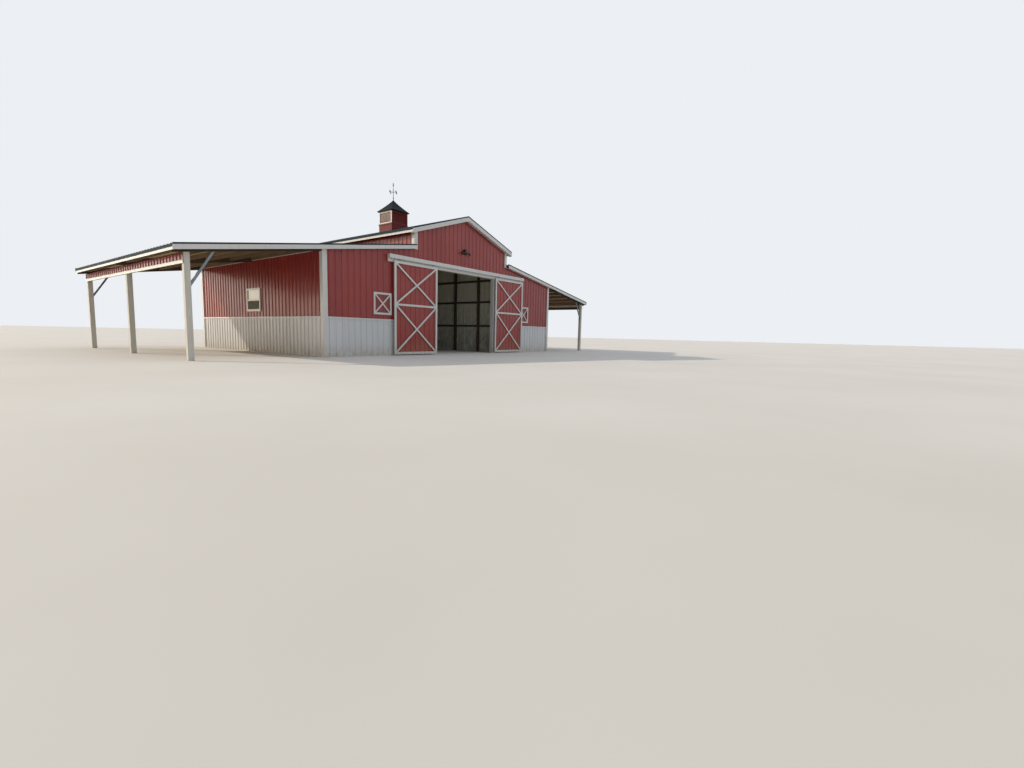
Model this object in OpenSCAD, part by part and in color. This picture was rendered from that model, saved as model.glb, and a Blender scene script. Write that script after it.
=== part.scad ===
/* [Plan] */
// Width of the raised centre aisle, over its sheets
center_w = 5486; // [4900:2:6100]
// Width of one enclosed side aisle
aisle_w = 3658; // [3300:1:4200]
// Depth of one open lean-to, out to the outer faces of its posts
lean_w = 3658; // [3000:1:4300]
// Length of the barn, over its end walls
barn_l = 9144; // [8400:2:10600]
// How far the roofs run on past the end walls
rake_over = 150; // [142:1:300]
// How far the low roofs run on past the lean-to posts
low_over = 263; // [160:1:400]
// How far the raised roof runs on past its side walls
high_over = 200; // [120:1:320]

/* [Roofs] */
// Rise from the top of the track board to the low roofs, where they meet the raised walls
low_rise = 509; // [390:1:790]
// Fall of the low roofs, as a share of the run
low_pitch = 0.158; // [0.12:0.002:0.18]
// Rise from there to the ridge of the raised roof
ridge_rise = 1547; // [1431:1:1880]
// Fall of the raised roof, as a share of the run
high_pitch = 0.3333; // [0.28:0.0001:0.36]
// Depth of the roof sheets, over their ribs
roof_t = 24; // [16:1:40]
// Width of one wing of the ridge cap
cap_w = 160; // [100:1:260]
// Thickness of the ridge cap
cap_t = 8; // [4:1:16]

/* [Sheets] */
// Depth of the wall sheets, over their ribs
sheet_t = 20; // [14:1:30]
// Thickness of the sheets between their ribs
pan_t = 3; // [2:0.5:5]
// Distance between two ribs
rib_pitch = 228.6; // [200:0.1:260]
// Width of a rib at its foot
rib_foot = 62; // [40:1:80]
// Width of a rib at its crown
rib_crown = 22; // [12:1:32]

/* [Walls] */
// Height of the wainscot
wains_h = 1219; // [1000:1:1350]
// Thickness of the flat trims
trim_t = 8; // [4:1:12]
// Width of each face of a corner trim
corner_w = 152; // [100:1:200]
// Height of the trim along the top of the wainscot
belt_h = 50; // [30:1:90]
// Height of the trim under the roof along the side walls
frieze_h = 150; // [90:1:200]

/* [Roof trim] */
// Thickness of the boards along the edges of the roofs
fascia_t = 20; // [12:1:30]
// Height of the trim along the sloping edges of the low roofs
low_rake_h = 160; // [120:1:200]
// Height of the trim along the sloping edges of the raised roof
high_rake_h = 194; // [140:1:240]
// Height of the trim along the eaves
eave_h = 160; // [120:1:180]
// Height of the hanging panel outside the lean-to posts, with its bottom strip
skirt_h = 262.5; // [200:0.5:400]
// Height of the white strip along the bottom of the hanging panel
skirt_trim_h = 80; // [50:1:110]

/* [Frame] */
// Side of the square lean-to posts
lean_post = 135; // [100:1:160]
// Side of the square posts in the outer walls
wall_post = 140; // [100:1:180]
// Side of the square posts along the centre aisle
inner_post = 100; // [80:1:140]
// Number of spans between the posts along the centre aisle
inner_spans = 6; // [4:1:8]
// Width of a rafter
rafter_w = 60; // [40:1:100]
// Depth of a rafter
rafter_d = 184; // [165:1:200]
// Width of a purlin
purlin_w = 40; // [30:1:60]
// Depth of a purlin
purlin_d = 130; // [90:1:150]
// Number of purlins over a side aisle, and over a lean-to
low_purlins = 6; // [4:1:8]
// Number of purlins on each slope of the raised roof
high_purlins = 5; // [3:1:7]
// Thickness of the girts behind the wall sheets
girt_t = 38; // [25:1:60]
// Height of a girt
girt_h = 90; // [60:1:120]
// Height of the middle girt
girt_mid_z = 2341; // [2341:1:2450]
// Height of the top girt along the centre aisle
girt_top_z = 3335; // [3200:1:3500]
// Thickness of a knee brace
brace_t = 60; // [40:1:90]
// Reach of a knee brace along the rafter
brace_run = 540; // [400:1:700]
// Height at which a knee brace meets its post
brace_foot_z = 1890; // [1700:1:2000]

/* [Doorway] */
// Clear width of the doorway
door_open_w = 3658; // [3200:2:3800]
// Clear height of the doorway
door_open_h = 3260; // [3000:1:3300]
// Width of the flat casing beside the doorway
casing_w = 100; // [60:1:140]
// Height of the beam over the doorway
header_h = 235; // [150:1:280]

/* [Sliding doors] */
// Width of one door
door_w = 2057; // [1900:1:2100]
// How far the doors reach up past the head of the doorway
door_lap = 55; // [30:1:80]
// Gap between the doors and the ground
door_ground_gap = 40; // [20:1:80]
// Thickness of a door
door_t = 45; // [35:1:50]
// Distance from the wall sheets to the outside of the doors
door_out = 114; // [112:1:122]
// Width of the door's stiles and outer rails
stile_w = 85; // [60:1:110]
// Width of the door's middle rail
mid_rail_w = 75; // [50:1:100]
// Height of the centre of the middle rail
mid_rail_z = 1803; // [1500:1:2000]
// Width of the crossed braces
x_bar_w = 62; // [40:1:85]
// Thickness of the door's ribbed panel
panel_t = 19; // [12:1:24]
// How far the left door stands open
left_open = 1687; // [1500:1:1800]
// How far the right door stands open
right_open = 1875; // [1500:1:1880]

/* [Track] */
// Length of the door track
track_l = 7926; // [7900:2:8100]
// Width of the track
track_w = 60; // [52:1:64]
// Height of the track
track_h = 70; // [66:1:80]
// Wall thickness of the track
track_wall = 4; // [3:1:5]
// Width of the slot along the bottom of the track
track_slot = 18; // [17:1:24]
// Gap between the doors and the track
hanger_gap = 80; // [40:1:110]
// Number of brackets that carry the track
track_brackets = 11; // [7:1:15]
// Radius of a trolley wheel
wheel_r = 24; // [20:1:26]
// Width of a trolley wheel
wheel_w = 13; // [8:1:14]
// Radius of the trolley's hanger rod
rod_r = 6; // [4:0.5:6]
// Distance from the centre of a door to each of its trolleys
trolley_x = 780; // [500:1:850]
// How far the track cover hangs below the track
cover_drop = 16; // [5:1:30]
// Room above the track inside its cover
cover_room = 45; // [20:1:80]
// Thickness of the track cover
cover_t = 4; // [2:1:6]

/* [Windows] */
// Outer width and height of a shutter
shutter_s = 750; // [600:1:900]
// Distance from the middle of the barn to the middle of a shutter
shutter_x = 4176; // [4100:1:4400]
// Height of the middle of a shutter
shutter_z = 1795; // [1700:1:1800]
// Width of the shutter's frame
shutter_frame_w = 66; // [45:1:90]
// Width of the shutter's crossed bars
shutter_bar_w = 48; // [30:1:70]
// How far frames stand out from the wall
frame_proud = 18; // [10:1:30]
// Width of a side window, over its frame
window_w = 1028; // [800:1:1200]
// Height of a side window, over its frame
window_h = 826; // [700:1:827]
// Height of the bottom of a side window
window_z = 1468; // [1400:1:1469]
// Offset of a side window from the middle of the wall, towards the front
window_shift = 57; // [0:1:120]
// Width of the side window's frame
window_frame_w = 58; // [40:1:80]
// Thickness of the glass
glass_t = 6; // [4:1:8]

/* [Lamp] */
// Height of the middle of the lamp over the foot of the raised walls
lamp_rise = 86; // [0:1:280]
// Length of the lamp's arm
lamp_w = 533; // [400:1:700]
// Distance of the lamp from the ridge line
lamp_shift = 70; // [0:1:150]

/* [Cupola] */
// Side of the cupola's body
cupola_w = 914; // [800:2:1000]
// Height of the cupola's base over the ridge
cupola_base_h = 126; // [74:1:214]
// Height of the band above the base
cupola_band_h = 69; // [50:1:90]
// Height of the cupola's louvred part
louvre_h = 548; // [450:1:700]
// Width of the cupola's corner posts
cupola_post = 80; // [60:1:110]
// Number of louvres on each side
louvre_count = 8; // [5:1:10]
// Thickness of a louvre
louvre_t = 10; // [8:1:14]
// How far the cupola's roof runs past its body
cupola_over = 57; // [30:1:90]
// Height of the cupola's roof
cupola_roof_h = 595; // [450:1:700]

/* [Weathervane] */
// Radius of the weathervane's rod
vane_rod_r = 11; // [7:0.5:12]
// Height of the rod above the cupola's roof
vane_rod_h = 430; // [380:1:520]
// Height of the direction arms above the cupola's roof
vane_arm_h = 350; // [300:1:365]
// Reach of a direction arm
vane_arm_l = 190; // [100:1:220]
// Radius of the pin that the vane turns on
vane_pin_r = 5; // [4:0.5:6]
// Length of the pin
vane_pin_h = 40; // [30:1:60]
// Clearance round the pin
vane_gap = 0.1; // [0.05:0.01:0.1]
// Thickness of the vane's plate
vane_t = 10; // [4:1:12]
// Length of the bar that carries the figure
vane_l = 130; // [80:1:240]
// Height of the vane's figure
vane_h = 320; // [240:1:380]
// Way that the vane points, turned from the front wall's line
vane_turn = 62; // [0:1:90]

/* [Hidden] */

$fn = 32;
RED = [0.56, 0.18, 0.16];
WHITE = [0.88, 0.88, 0.85];
STEEL = [0.66, 0.69, 0.71];
SLATE = [0.24, 0.29, 0.32];
DARK = [0.22, 0.20, 0.19];
BLACK = [0.09, 0.09, 0.10];

half_c = center_w / 2;
half_s = half_c + aisle_w;
half_p = half_s + lean_w;
half_e = half_p + low_over;
half_h = half_c + high_over;
half_l = barn_l / 2;
half_o = half_l + rake_over;
door_half = door_open_w / 2;
door_top_z = door_open_h + door_lap;
track_z = door_top_z + hanger_gap;
cover_z = track_z - cover_drop;
cover_h = cover_drop + track_h + cover_room + cover_t;
jamb_x = door_half + trim_t;
head_z = door_open_h + trim_t;
inner_x = half_c - sheet_t - girt_t;
outer_x = half_s - sheet_t - girt_t;
frame_y = half_l - sheet_t;
lining_d = sheet_t + wall_post;
skirt_x = half_p + sheet_t;
beam_h = 140;
soffit_t = 8;
seat = 0.2;
roof_drop = roof_t + seat;
ridge_joint = 0.5;
girt_joint = 1;
board_t = 45;
board_top_z = cover_z + cover_h - cover_t;
low_top_z = board_top_z + low_rise;
ridge_z = low_top_z + ridge_rise;
lamp_z = low_top_z + lamp_rise;
cupola_base_z = ridge_z + cupola_base_h;
door_mid_y = -half_l - door_out + door_t / 2;
wheel_run = 0.3;
hanger_l = 120;
hanger_t = 8;
window_d = sheet_t + frame_proud + 12;
sash_h = 40;
lower_pane_x = 14;
upper_pane_x = 26;
lamp_out = 70;
lamp_r = 40;
lamp_lean = 35;
band_proud = 15;
cupola_half = cupola_w / 2;
cupola_reach = cupola_half + cupola_over;
louvre_z = cupola_base_z + cupola_band_h;
louvre_set = 12;
louvre_rise = 6;
cupola_eave_z = louvre_z + louvre_h;
cupola_lip = 30;
vane_z = cupola_eave_z + cupola_roof_h;
vane_root = 90;
vane_arm_r = 6;
vane_pad_w = 72;
vane_pad_h = 118;
vane_knob_r = 26;
vane_run = 0.3;
low_zero = low_top_z + low_pitch * half_c;
inner_step = (2 * frame_y - inner_post) / inner_spans;
inner_ys = [for (i = [0:inner_spans]) -frame_y + inner_post / 2 + i * inner_step];
aisle_frames = [-frame_y + rafter_w / 2, inner_ys[2], inner_ys[inner_spans - 2], frame_y - rafter_w / 2];
lean_frames = [-frame_y + rafter_w / 2, 0, frame_y - rafter_w / 2];

function low_top(x) = low_zero - low_pitch * x;
function low_under(x) = low_top(x) - roof_drop;
function low_frame(x) = low_under(x) - rafter_d - seat;
function high_top(x) = ridge_z - high_pitch * x;
function high_under(x) = high_top(x) - roof_drop;

plate_top = high_under(inner_x) - rafter_d;
skirt_z = low_frame(skirt_x) - skirt_h;

// Repeats its children on the right and, mirrored, on the left
module both_sides() {
    children();
    mirror([1, 0, 0]) children();
}

// Repeats its children at the front and, mirrored, at the rear
module both_ends() {
    children();
    mirror([0, 1, 0]) children();
}

// Mirrors its children to one side: 1 is the right, -1 the left
module on_side(side) {
    if (side > 0) children();
    else mirror([1, 0, 0]) children();
}

// Runs an outline of across and up from y0 to y1
module along_y(y0, y1) {
    translate([0, y1, 0]) rotate([90, 0, 0]) linear_extrude(y1 - y0) children();
}

// Box between two corners
module block(low, high) {
    translate(low) cube(high - low);
}

// Outline that follows the low roof's slope from x0 to x1, starting drop below its top
module low_strip(x0, x1, drop, depth) {
    polygon([
        [x0, low_top(x0) - drop], [x1, low_top(x1) - drop],
        [x1, low_top(x1) - drop - depth], [x0, low_top(x0) - drop - depth]
    ]);
}

// The same along the raised roof's slope
module high_strip(x0, x1, drop, depth) {
    polygon([
        [x0, high_top(x0) - drop], [x1, high_top(x1) - drop],
        [x1, high_top(x1) - drop - depth], [x0, high_top(x0) - drop - depth]
    ]);
}

// Square-ended bar between two points of an outline
module bar(from, to, width) {
    run = to - from;
    translate(from) rotate(atan2(run[1], run[0])) translate([0, -width / 2]) square([norm(run), width]);
}

// Crossed bars that fill a rectangle from corner to corner
module cross_bars(low, high, width) {
    intersection() {
        translate(low) square(high - low);
        union() {
            bar(low - (high - low) * 0.05, high + (high - low) * 0.05, width);
            bar([low[0], high[1]] + [low[0] - high[0], high[1] - low[1]] * 0.05,
                [high[0], low[1]] + [high[0] - low[0], low[1] - high[1]] * 0.05, width);
        }
    }
}

// Depth of a ribbed sheet at a place along it, where crown_d is its depth over a rib
function rib_depth(u, crown_d) =
    let (off = abs(u - rib_pitch * round(u / rib_pitch)))
    off >= rib_foot / 2 ? pan_t
        : off <= rib_crown / 2 ? crown_d
        : pan_t + (crown_d - pan_t) * (rib_foot / 2 - off) / (rib_foot / 2 - rib_crown / 2);

// Plan of ribbed sheets from u0 to u1, with their back on y = 0 and their ribs towards +y
module ribbed_plan(u0, u1, crown_d = sheet_t) {
    bends = [for (
        i = [floor(u0 / rib_pitch):ceil(u1 / rib_pitch)],
        side = [-rib_foot / 2, -rib_crown / 2, rib_crown / 2, rib_foot / 2]
    ) i * rib_pitch + side];
    inside = [for (u = bends) if (u > u0 && u < u1) u];
    polygon(concat([[u0, 0]], [for (u = concat([u0], inside, [u1])) [u, rib_depth(u, crown_d)]], [[u1, 0]]));
}

// Ribbed sheets on the front wall's line, from x0 to x1 and from z0 to z1
module front_sheets(x0, x1, z0, z1) {
    translate([0, -frame_y, z0]) mirror([0, 1, 0]) linear_extrude(z1 - z0) ribbed_plan(x0, x1);
}

// Ribbed sheets that run along the barn, with their back at x, from y0 to y1 and from z0 to z1
module side_sheets(x, y0, y1, z0, z1) {
    translate([x, 0, z0]) linear_extrude(z1 - z0) rotate(-90) ribbed_plan(-y1, -y0);
}

// Cuts ribbed sheets on the front wall's line to an outline of across and up
module cut_front(x0, x1, z0, z1) {
    intersection() {
        front_sheets(x0, x1, z0, z1);
        along_y(-half_l - sheet_t, -frame_y + sheet_t) children();
    }
}

// Hole behind a shutter, in an end wall
module shutter_hole() {
    hole = shutter_s - 2 * shutter_frame_w;
    translate([shutter_x - hole / 2, shutter_z - hole / 2]) square(hole);
}

// Outline of an end wall's red sheets past inner_edge: they end at the head of the doorway
// in front of the centre aisle, and under the low roof elsewhere
module end_wall_outline(inner_edge) {
    difference() {
        polygon([
            [inner_edge - sheet_t, 0], [half_s + sheet_t, 0],
            [half_s + sheet_t, low_under(half_s + sheet_t)],
            [half_c, low_under(half_c)], [half_c, head_z], [inner_edge - sheet_t, head_z]
        ]);
        shutter_hole();
    }
}

module front_wall(side) {
    color(RED) on_side(side)
        cut_front(jamb_x, half_s, wains_h, low_under(half_c)) end_wall_outline(jamb_x);
}

module rear_wall(side) {
    color(RED) on_side(side) mirror([0, 1, 0])
        cut_front(half_c, half_s, wains_h, low_under(half_c)) end_wall_outline(half_c);
}

// Sheets of an end wall under the raised roof
module gable_sheets(bottom) {
    color(RED) cut_front(-half_c, half_c, bottom, high_under(0)) polygon([
        [-half_c - sheet_t, 0], [half_c + sheet_t, 0], [half_c + sheet_t, high_under(half_c + sheet_t)],
        [0, high_under(0)], [-half_c - sheet_t, high_under(half_c + sheet_t)]
    ]);
}

module front_gable_wall() {
    gable_sheets(head_z);
}

module rear_gable_wall() {
    mirror([0, 1, 0]) gable_sheets(wains_h);
}

module side_wall(side) {
    color(RED) on_side(side) difference() {
        side_sheets(half_s - sheet_t, -frame_y, frame_y, wains_h, low_under(half_s));
        translate([half_s - 2 * sheet_t, -window_w / 2 - window_shift, window_z])
            cube([4 * sheet_t, window_w, window_h]);
    }
}

module aisle_walls() {
    color(STEEL) both_sides()
        block([half_c - sheet_t, -frame_y, 0], [half_c, frame_y, low_under(half_c)]);
}

module clerestory_walls() {
    color(RED) both_sides()
        side_sheets(half_c - sheet_t, -frame_y, frame_y, low_under(half_c), high_under(half_c));
}

module wainscot() {
    color(WHITE) {
        both_sides() {
            front_sheets(jamb_x, half_s, 0, wains_h);
            side_sheets(half_s - sheet_t, -frame_y + girt_joint, frame_y - girt_joint, 0, wains_h);
        }
        mirror([0, 1, 0]) front_sheets(-half_s, half_s, 0, wains_h);
    }
}

module belt_trim() {
    color(WHITE) {
        both_sides() {
            block([jamb_x + casing_w, -half_l - trim_t, wains_h],
                [half_s - corner_w, -half_l, wains_h + belt_h]);
            block([half_s, -half_l + corner_w, wains_h],
                [half_s + trim_t, half_l - corner_w, wains_h + belt_h]);
            along_y(-half_l + corner_w, half_l - corner_w) polygon([
                [half_s, low_under(half_s) - frieze_h], [half_s + trim_t, low_under(half_s) - frieze_h],
                [half_s + trim_t, low_under(half_s + trim_t)], [half_s, low_under(half_s)]
            ]);
        }
        block([-half_s + corner_w, half_l, wains_h], [half_s - corner_w, half_l + trim_t, wains_h + belt_h]);
    }
}

// Angles that wrap the outside corners, of the low walls and of the raised ones
module corner_trim() {
    color(WHITE) both_ends() both_sides() {
        difference() {
            along_y(-half_l - trim_t, -half_l + corner_w) polygon([
                [half_s - corner_w, 0], [half_s + trim_t, 0],
                [half_s + trim_t, low_top(half_s + trim_t) - low_rake_h - seat],
                [half_s - corner_w, low_top(half_s - corner_w) - low_rake_h - seat]
            ]);
            block([half_s - corner_w - 1, -half_l, -1], [half_s, half_l, low_top_z]);
        }
        difference() {
            along_y(-half_l - trim_t, -half_l + corner_w) polygon([
                [half_c - corner_w, low_top_z - low_rake_h], [half_c, low_top_z - low_rake_h],
                [half_c, low_top_z], [half_c + trim_t, low_top_z],
                [half_c + trim_t, high_top(half_c + trim_t) - high_rake_h - seat],
                [half_c - corner_w, high_top(half_c - corner_w) - high_rake_h - seat]
            ]);
            block([half_c - corner_w - 1, -half_l, -1], [half_c, half_l, ridge_z]);
        }
    }
}

module low_roof(side) {
    color(SLATE) on_side(side)
        along_y(-half_o + fascia_t, half_o - fascia_t) low_strip(half_c, half_e - fascia_t, 0, roof_t);
}

module high_roof(side) {
    color(SLATE) on_side(side)
        along_y(-half_o + fascia_t, half_o - fascia_t) high_strip(0, half_h - fascia_t, 0, roof_t);
}

module ridge_cap() {
    color(SLATE) along_y(-half_o, half_o) union() {
        high_strip(0, cap_w, -cap_t - seat, cap_t);
        mirror([1, 0]) high_strip(0, cap_w, -cap_t - seat, cap_t);
    }
}

module rake_trim() {
    color(WHITE) both_ends() {
        both_sides() {
            along_y(-half_o, -half_o + fascia_t) low_strip(half_c, half_e, 0, low_rake_h);
            along_y(-half_o, -half_l) {
                low_strip(half_c, half_s, low_rake_h - soffit_t, soffit_t);
                low_strip(half_c, half_c + soffit_t, roof_drop, low_rake_h - roof_drop);
            }
        }
        along_y(-half_o, -half_o + fascia_t) {
            high_strip(0, half_h, 0, high_rake_h);
            mirror([1, 0]) high_strip(0, half_h, 0, high_rake_h);
        }
        along_y(-half_o, -half_l) {
            high_strip(0, half_h, high_rake_h - soffit_t, soffit_t);
            mirror([1, 0]) high_strip(0, half_h, high_rake_h - soffit_t, soffit_t);
        }
    }
}

module eave_trim() {
    color(WHITE) both_sides() {
        along_y(-half_o + fascia_t, half_o - fascia_t) {
            low_strip(half_e - fascia_t, half_e, 0, eave_h);
            high_strip(half_h - fascia_t, half_h, 0, eave_h);
        }
        block([half_p, -half_l, skirt_z], [skirt_x, half_l, skirt_z + skirt_trim_h]);
    }
}

module skirt_panels() {
    color(RED) both_sides()
        side_sheets(half_p, -half_l, half_l, skirt_z + skirt_trim_h, low_frame(skirt_x));
}

// Upright post under the low roofs' rafters, from x0 to x1 and centred on y
module low_post(x0, x1, y, width) {
    along_y(y - width / 2, y + width / 2) polygon([
        [x0, 0], [x1, 0], [x1, low_frame(x1)], [x0, low_frame(x0)]
    ]);
}

module lean_to_posts() {
    post_y = half_l - lean_post / 2;
    color(STEEL) both_sides() for (y = [-post_y, 0, post_y])
        low_post(half_p - lean_post, half_p, y, lean_post);
}

module outer_posts() {
    post_y = frame_y - girt_t - wall_post / 2;
    color(DARK) both_sides() for (y = [-post_y, inner_ys[2], inner_ys[inner_spans - 2], post_y])
        low_post(outer_x - wall_post, outer_x, y, wall_post);
}

module inner_posts() {
    color(DARK) both_sides() for (y = inner_ys)
        block([inner_x - inner_post, y - inner_post / 2, 0],
            [inner_x, y + inner_post / 2, plate_top - beam_h]);
}

module rafters() {
    color(DARK) {
        both_sides() {
            for (y = aisle_frames) along_y(y - rafter_w / 2, y + rafter_w / 2)
                low_strip(half_c, half_s - sheet_t, roof_drop, rafter_d);
            for (y = lean_frames) along_y(y - rafter_w / 2, y + rafter_w / 2)
                low_strip(half_s + trim_t, half_e - fascia_t, roof_drop, rafter_d);
        }
        for (y = aisle_frames) along_y(y - rafter_w / 2, y + rafter_w / 2) {
            high_strip(ridge_joint, inner_x, roof_drop, rafter_d);
            mirror([1, 0]) high_strip(ridge_joint, inner_x, roof_drop, rafter_d);
        }
    }
}

// Spans between frames, and past the outer frames where run_on says so
function spans(frames, run_on) = [
    if (run_on) [-half_o + fascia_t, frames[0] - rafter_w / 2],
    for (i = [0:len(frames) - 2]) [frames[i] + rafter_w / 2, frames[i + 1] - rafter_w / 2],
    if (run_on) [frames[len(frames) - 1] + rafter_w / 2, half_o - fascia_t]
];

aisle_purlin_xs = [for (i = [0:low_purlins - 1])
    half_c + i * (aisle_w - sheet_t - purlin_w) / (low_purlins - 1)];
lean_purlin_xs = [for (i = [0:low_purlins - 1])
    half_s + trim_t + i * (lean_w - trim_t - purlin_w) / (low_purlins - 1),
    half_e - fascia_t - purlin_w];
high_purlin_xs = [for (i = [0:high_purlins - 1])
    purlin_w + i * (inner_x - 2 * purlin_w) / (high_purlins - 1)];

module purlins() {
    color(DARK) both_sides() {
        for (x = aisle_purlin_xs, span = spans(aisle_frames, false))
            along_y(span[0], span[1]) low_strip(x, x + purlin_w, roof_drop, purlin_d);
        for (x = lean_purlin_xs, span = spans(lean_frames, true))
            along_y(span[0], span[1]) low_strip(x, x + purlin_w, roof_drop, purlin_d);
        for (x = high_purlin_xs, span = spans(aisle_frames, false))
            along_y(span[0], span[1]) high_strip(x, x + purlin_w, roof_drop, purlin_d);
    }
}

module beams() {
    color(DARK) {
        both_sides() {
            along_y(-frame_y, frame_y) polygon([
                [inner_x - inner_post, plate_top - beam_h], [inner_x, plate_top - beam_h],
                [inner_x, plate_top], [inner_x - inner_post, plate_top]
            ]);
            both_ends() block([half_p - girt_t, -half_l + lean_post, skirt_z],
                [half_p, -lean_post / 2, skirt_z + beam_h]);
        }
        block([-jamb_x - wall_post, -frame_y, head_z],
            [jamb_x + wall_post, -frame_y + wall_post, head_z + header_h]);
    }
}

module girts() {
    rows = [wains_h - girt_h / 2, girt_mid_z - girt_h / 2];
    color(DARK) both_sides() {
        for (z = rows) {
            block([outer_x, -frame_y + girt_t, z], [half_s - sheet_t, frame_y - girt_t, z + girt_h]);
            both_ends() block([half_c, -frame_y, z],
                [half_s - sheet_t, -frame_y + girt_t - girt_joint, z + girt_h]);
        }
        for (z = concat(rows, [girt_top_z - girt_h / 2]))
            block([inner_x, -frame_y, z], [half_c - sheet_t, frame_y, z + girt_h]);
    }
}

// Brace from the face of a lean-to corner post up to the rafter
module knee_braces() {
    foot = [half_p - lean_post, brace_foot_z];
    head = [foot[0] - brace_run, low_frame(foot[0] - brace_run)];
    color(DARK) both_ends() both_sides() along_y(-frame_y, -frame_y + rafter_w) difference() {
        bar(2 * foot - head, 2 * head - foot, brace_t);
        translate([foot[0], 0]) square([2 * brace_run, low_top_z]);
        low_strip(half_s, half_p, -low_top_z, low_top_z + roof_drop + rafter_d + seat);
    }
}

module door_jambs() {
    color(DARK) both_sides()
        block([jamb_x, -frame_y, 0], [jamb_x + wall_post, -frame_y + wall_post, head_z]);
}

module door_casing() {
    color(WHITE) both_sides() {
        block([door_half, -half_l - trim_t, 0], [jamb_x, -half_l + lining_d, door_open_h]);
        block([door_half, -half_l - trim_t, 0], [jamb_x + casing_w, -half_l, door_open_h]);
    }
}

module track_board() {
    color(WHITE) {
        block([-track_l / 2, -half_l - board_t, door_open_h], [track_l / 2, -half_l, board_top_z]);
        block([-door_half - trim_t, -half_l - trim_t, door_open_h],
            [door_half + trim_t, -half_l + lining_d, head_z]);
    }
}

// Section of the track: a box with a slot along its bottom
module track_outline() {
    difference() {
        translate([-track_w / 2, 0]) square([track_w, track_h]);
        translate([-track_w / 2 + track_wall, track_wall])
            square([track_w - 2 * track_wall, track_h - 2 * track_wall]);
        translate([-track_slot / 2, -track_wall]) square([track_slot, 3 * track_wall]);
    }
}

module door_track() {
    bracket_step = (track_l - 2 * track_w) / (track_brackets - 1);
    bracket_y = door_mid_y + track_w / 2 - 0.5;
    color(STEEL) {
        translate([-track_l / 2, door_mid_y, track_z]) rotate([90, 0, 90])
            linear_extrude(track_l) track_outline();
        for (i = [0:track_brackets - 1])
            translate([-track_l / 2 + track_w / 2 + i * bracket_step, bracket_y, track_z + track_h / 3])
                cube([track_w, -half_l - board_t - bracket_y, track_h * 2 / 3]);
    }
}

module track_cover() {
    cover_y = -half_l - min(door_out + 23, rake_over - fascia_t + 7);
    cover_top = cover_z + cover_h;
    color(WHITE) {
        block([-track_l / 2, cover_y, cover_z], [track_l / 2, cover_y + cover_t, cover_top]);
        block([-track_l / 2, cover_y, cover_top - cover_t], [track_l / 2, -half_l, cover_top]);
        both_sides() block([track_l / 2, cover_y, cover_z], [track_l / 2 + cover_t, -half_l, cover_top]);
    }
}

// Door drawn closed, with its meeting edge on x = 0, running towards +x
module door_panel_shape() {
    low = door_ground_gap + stile_w;
    color(RED) translate([0, door_mid_y + door_t / 2, low]) mirror([0, 1, 0])
        linear_extrude(door_top_z - stile_w - low) ribbed_plan(stile_w, door_w - stile_w, panel_t);
}

module door_frame_outline() {
    low = [stile_w, door_ground_gap + stile_w];
    high = [door_w - stile_w, door_top_z - stile_w];
    mid_low = mid_rail_z - mid_rail_w / 2;
    mid_high = mid_rail_z + mid_rail_w / 2;
    difference() {
        translate([0, door_ground_gap]) square([door_w, door_top_z - door_ground_gap]);
        translate(low) square(high - low);
    }
    translate([0, mid_low]) square([door_w, mid_rail_w]);
    cross_bars(low, [high[0], mid_low], x_bar_w);
    cross_bars([low[0], mid_high], high, x_bar_w);
}

module door_frame_shape() {
    color(WHITE) {
        along_y(door_mid_y - door_t / 2, door_mid_y + door_t / 2 - panel_t) door_frame_outline();
        along_y(door_mid_y - door_t / 2, door_mid_y + door_t / 2) difference() {
            translate([0, door_ground_gap]) square([door_w, door_top_z - door_ground_gap]);
            translate([stile_w, door_ground_gap + stile_w])
                square([door_w - 2 * stile_w, door_top_z - door_ground_gap - 2 * stile_w]);
        }
    }
}

module trolley() {
    axle_z = track_z + track_wall + wheel_r + wheel_run;
    wheel_y = track_slot / 2 + 1;
    translate([0, door_mid_y, 0]) {
        translate([0, 0, door_top_z]) cylinder(r = rod_r, h = axle_z - door_top_z);
        translate([0, wheel_y + wheel_w / 2, axle_z]) rotate([90, 0, 0])
            cylinder(r = rod_r, h = 2 * wheel_y + wheel_w);
        for (y = [wheel_y + wheel_w, -wheel_y])
            translate([0, y, axle_z]) rotate([90, 0, 0]) cylinder(r = wheel_r, h = wheel_w);
        translate([-hanger_l / 2, -door_t / 2, door_top_z]) cube([hanger_l, door_t, hanger_t]);
    }
}

module door_trolleys_shape() {
    color(STEEL) for (side = [-1, 1]) translate([door_w / 2 + side * trolley_x, 0, 0]) trolley();
}

// Puts a closed right-hand door where it stands open
module place_right() {
    translate([right_open, 0, 0]) children();
}

module place_left() {
    translate([-left_open, 0, 0]) mirror([1, 0, 0]) children();
}

module shutter_frames() {
    low = [shutter_x - shutter_s / 2, shutter_z - shutter_s / 2];
    high = [shutter_x + shutter_s / 2, shutter_z + shutter_s / 2];
    edge = [shutter_frame_w, shutter_frame_w];
    color(WHITE) both_ends() both_sides() along_y(-half_l - frame_proud, -half_l) {
        difference() {
            translate(low) square(high - low);
            translate(low + edge) square(high - low - 2 * edge);
        }
        cross_bars(low + edge, high - edge, shutter_bar_w);
    }
}

module shutter_panels() {
    color(RED) both_ends() both_sides() along_y(-half_l, -frame_y) shutter_hole();
}

// Places the side window's own pieces: x runs inwards from the outside of its frame
module at_window() {
    both_sides() translate([half_s + frame_proud, -window_w / 2 - window_shift, window_z])
        mirror([1, 0, 0]) children();
}

module window_frames() {
    inner_w = window_w - 2 * window_frame_w;
    inner_h = window_h - 2 * window_frame_w;
    color(WHITE) at_window() {
        difference() {
            cube([window_d, window_w, window_h]);
            translate([-1, window_frame_w, window_frame_w]) cube([window_d + 2, inner_w, inner_h]);
        }
        translate([trim_t, window_frame_w, (window_h - sash_h) / 2])
            cube([window_d - 2 * trim_t, inner_w, sash_h]);
    }
}

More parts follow.
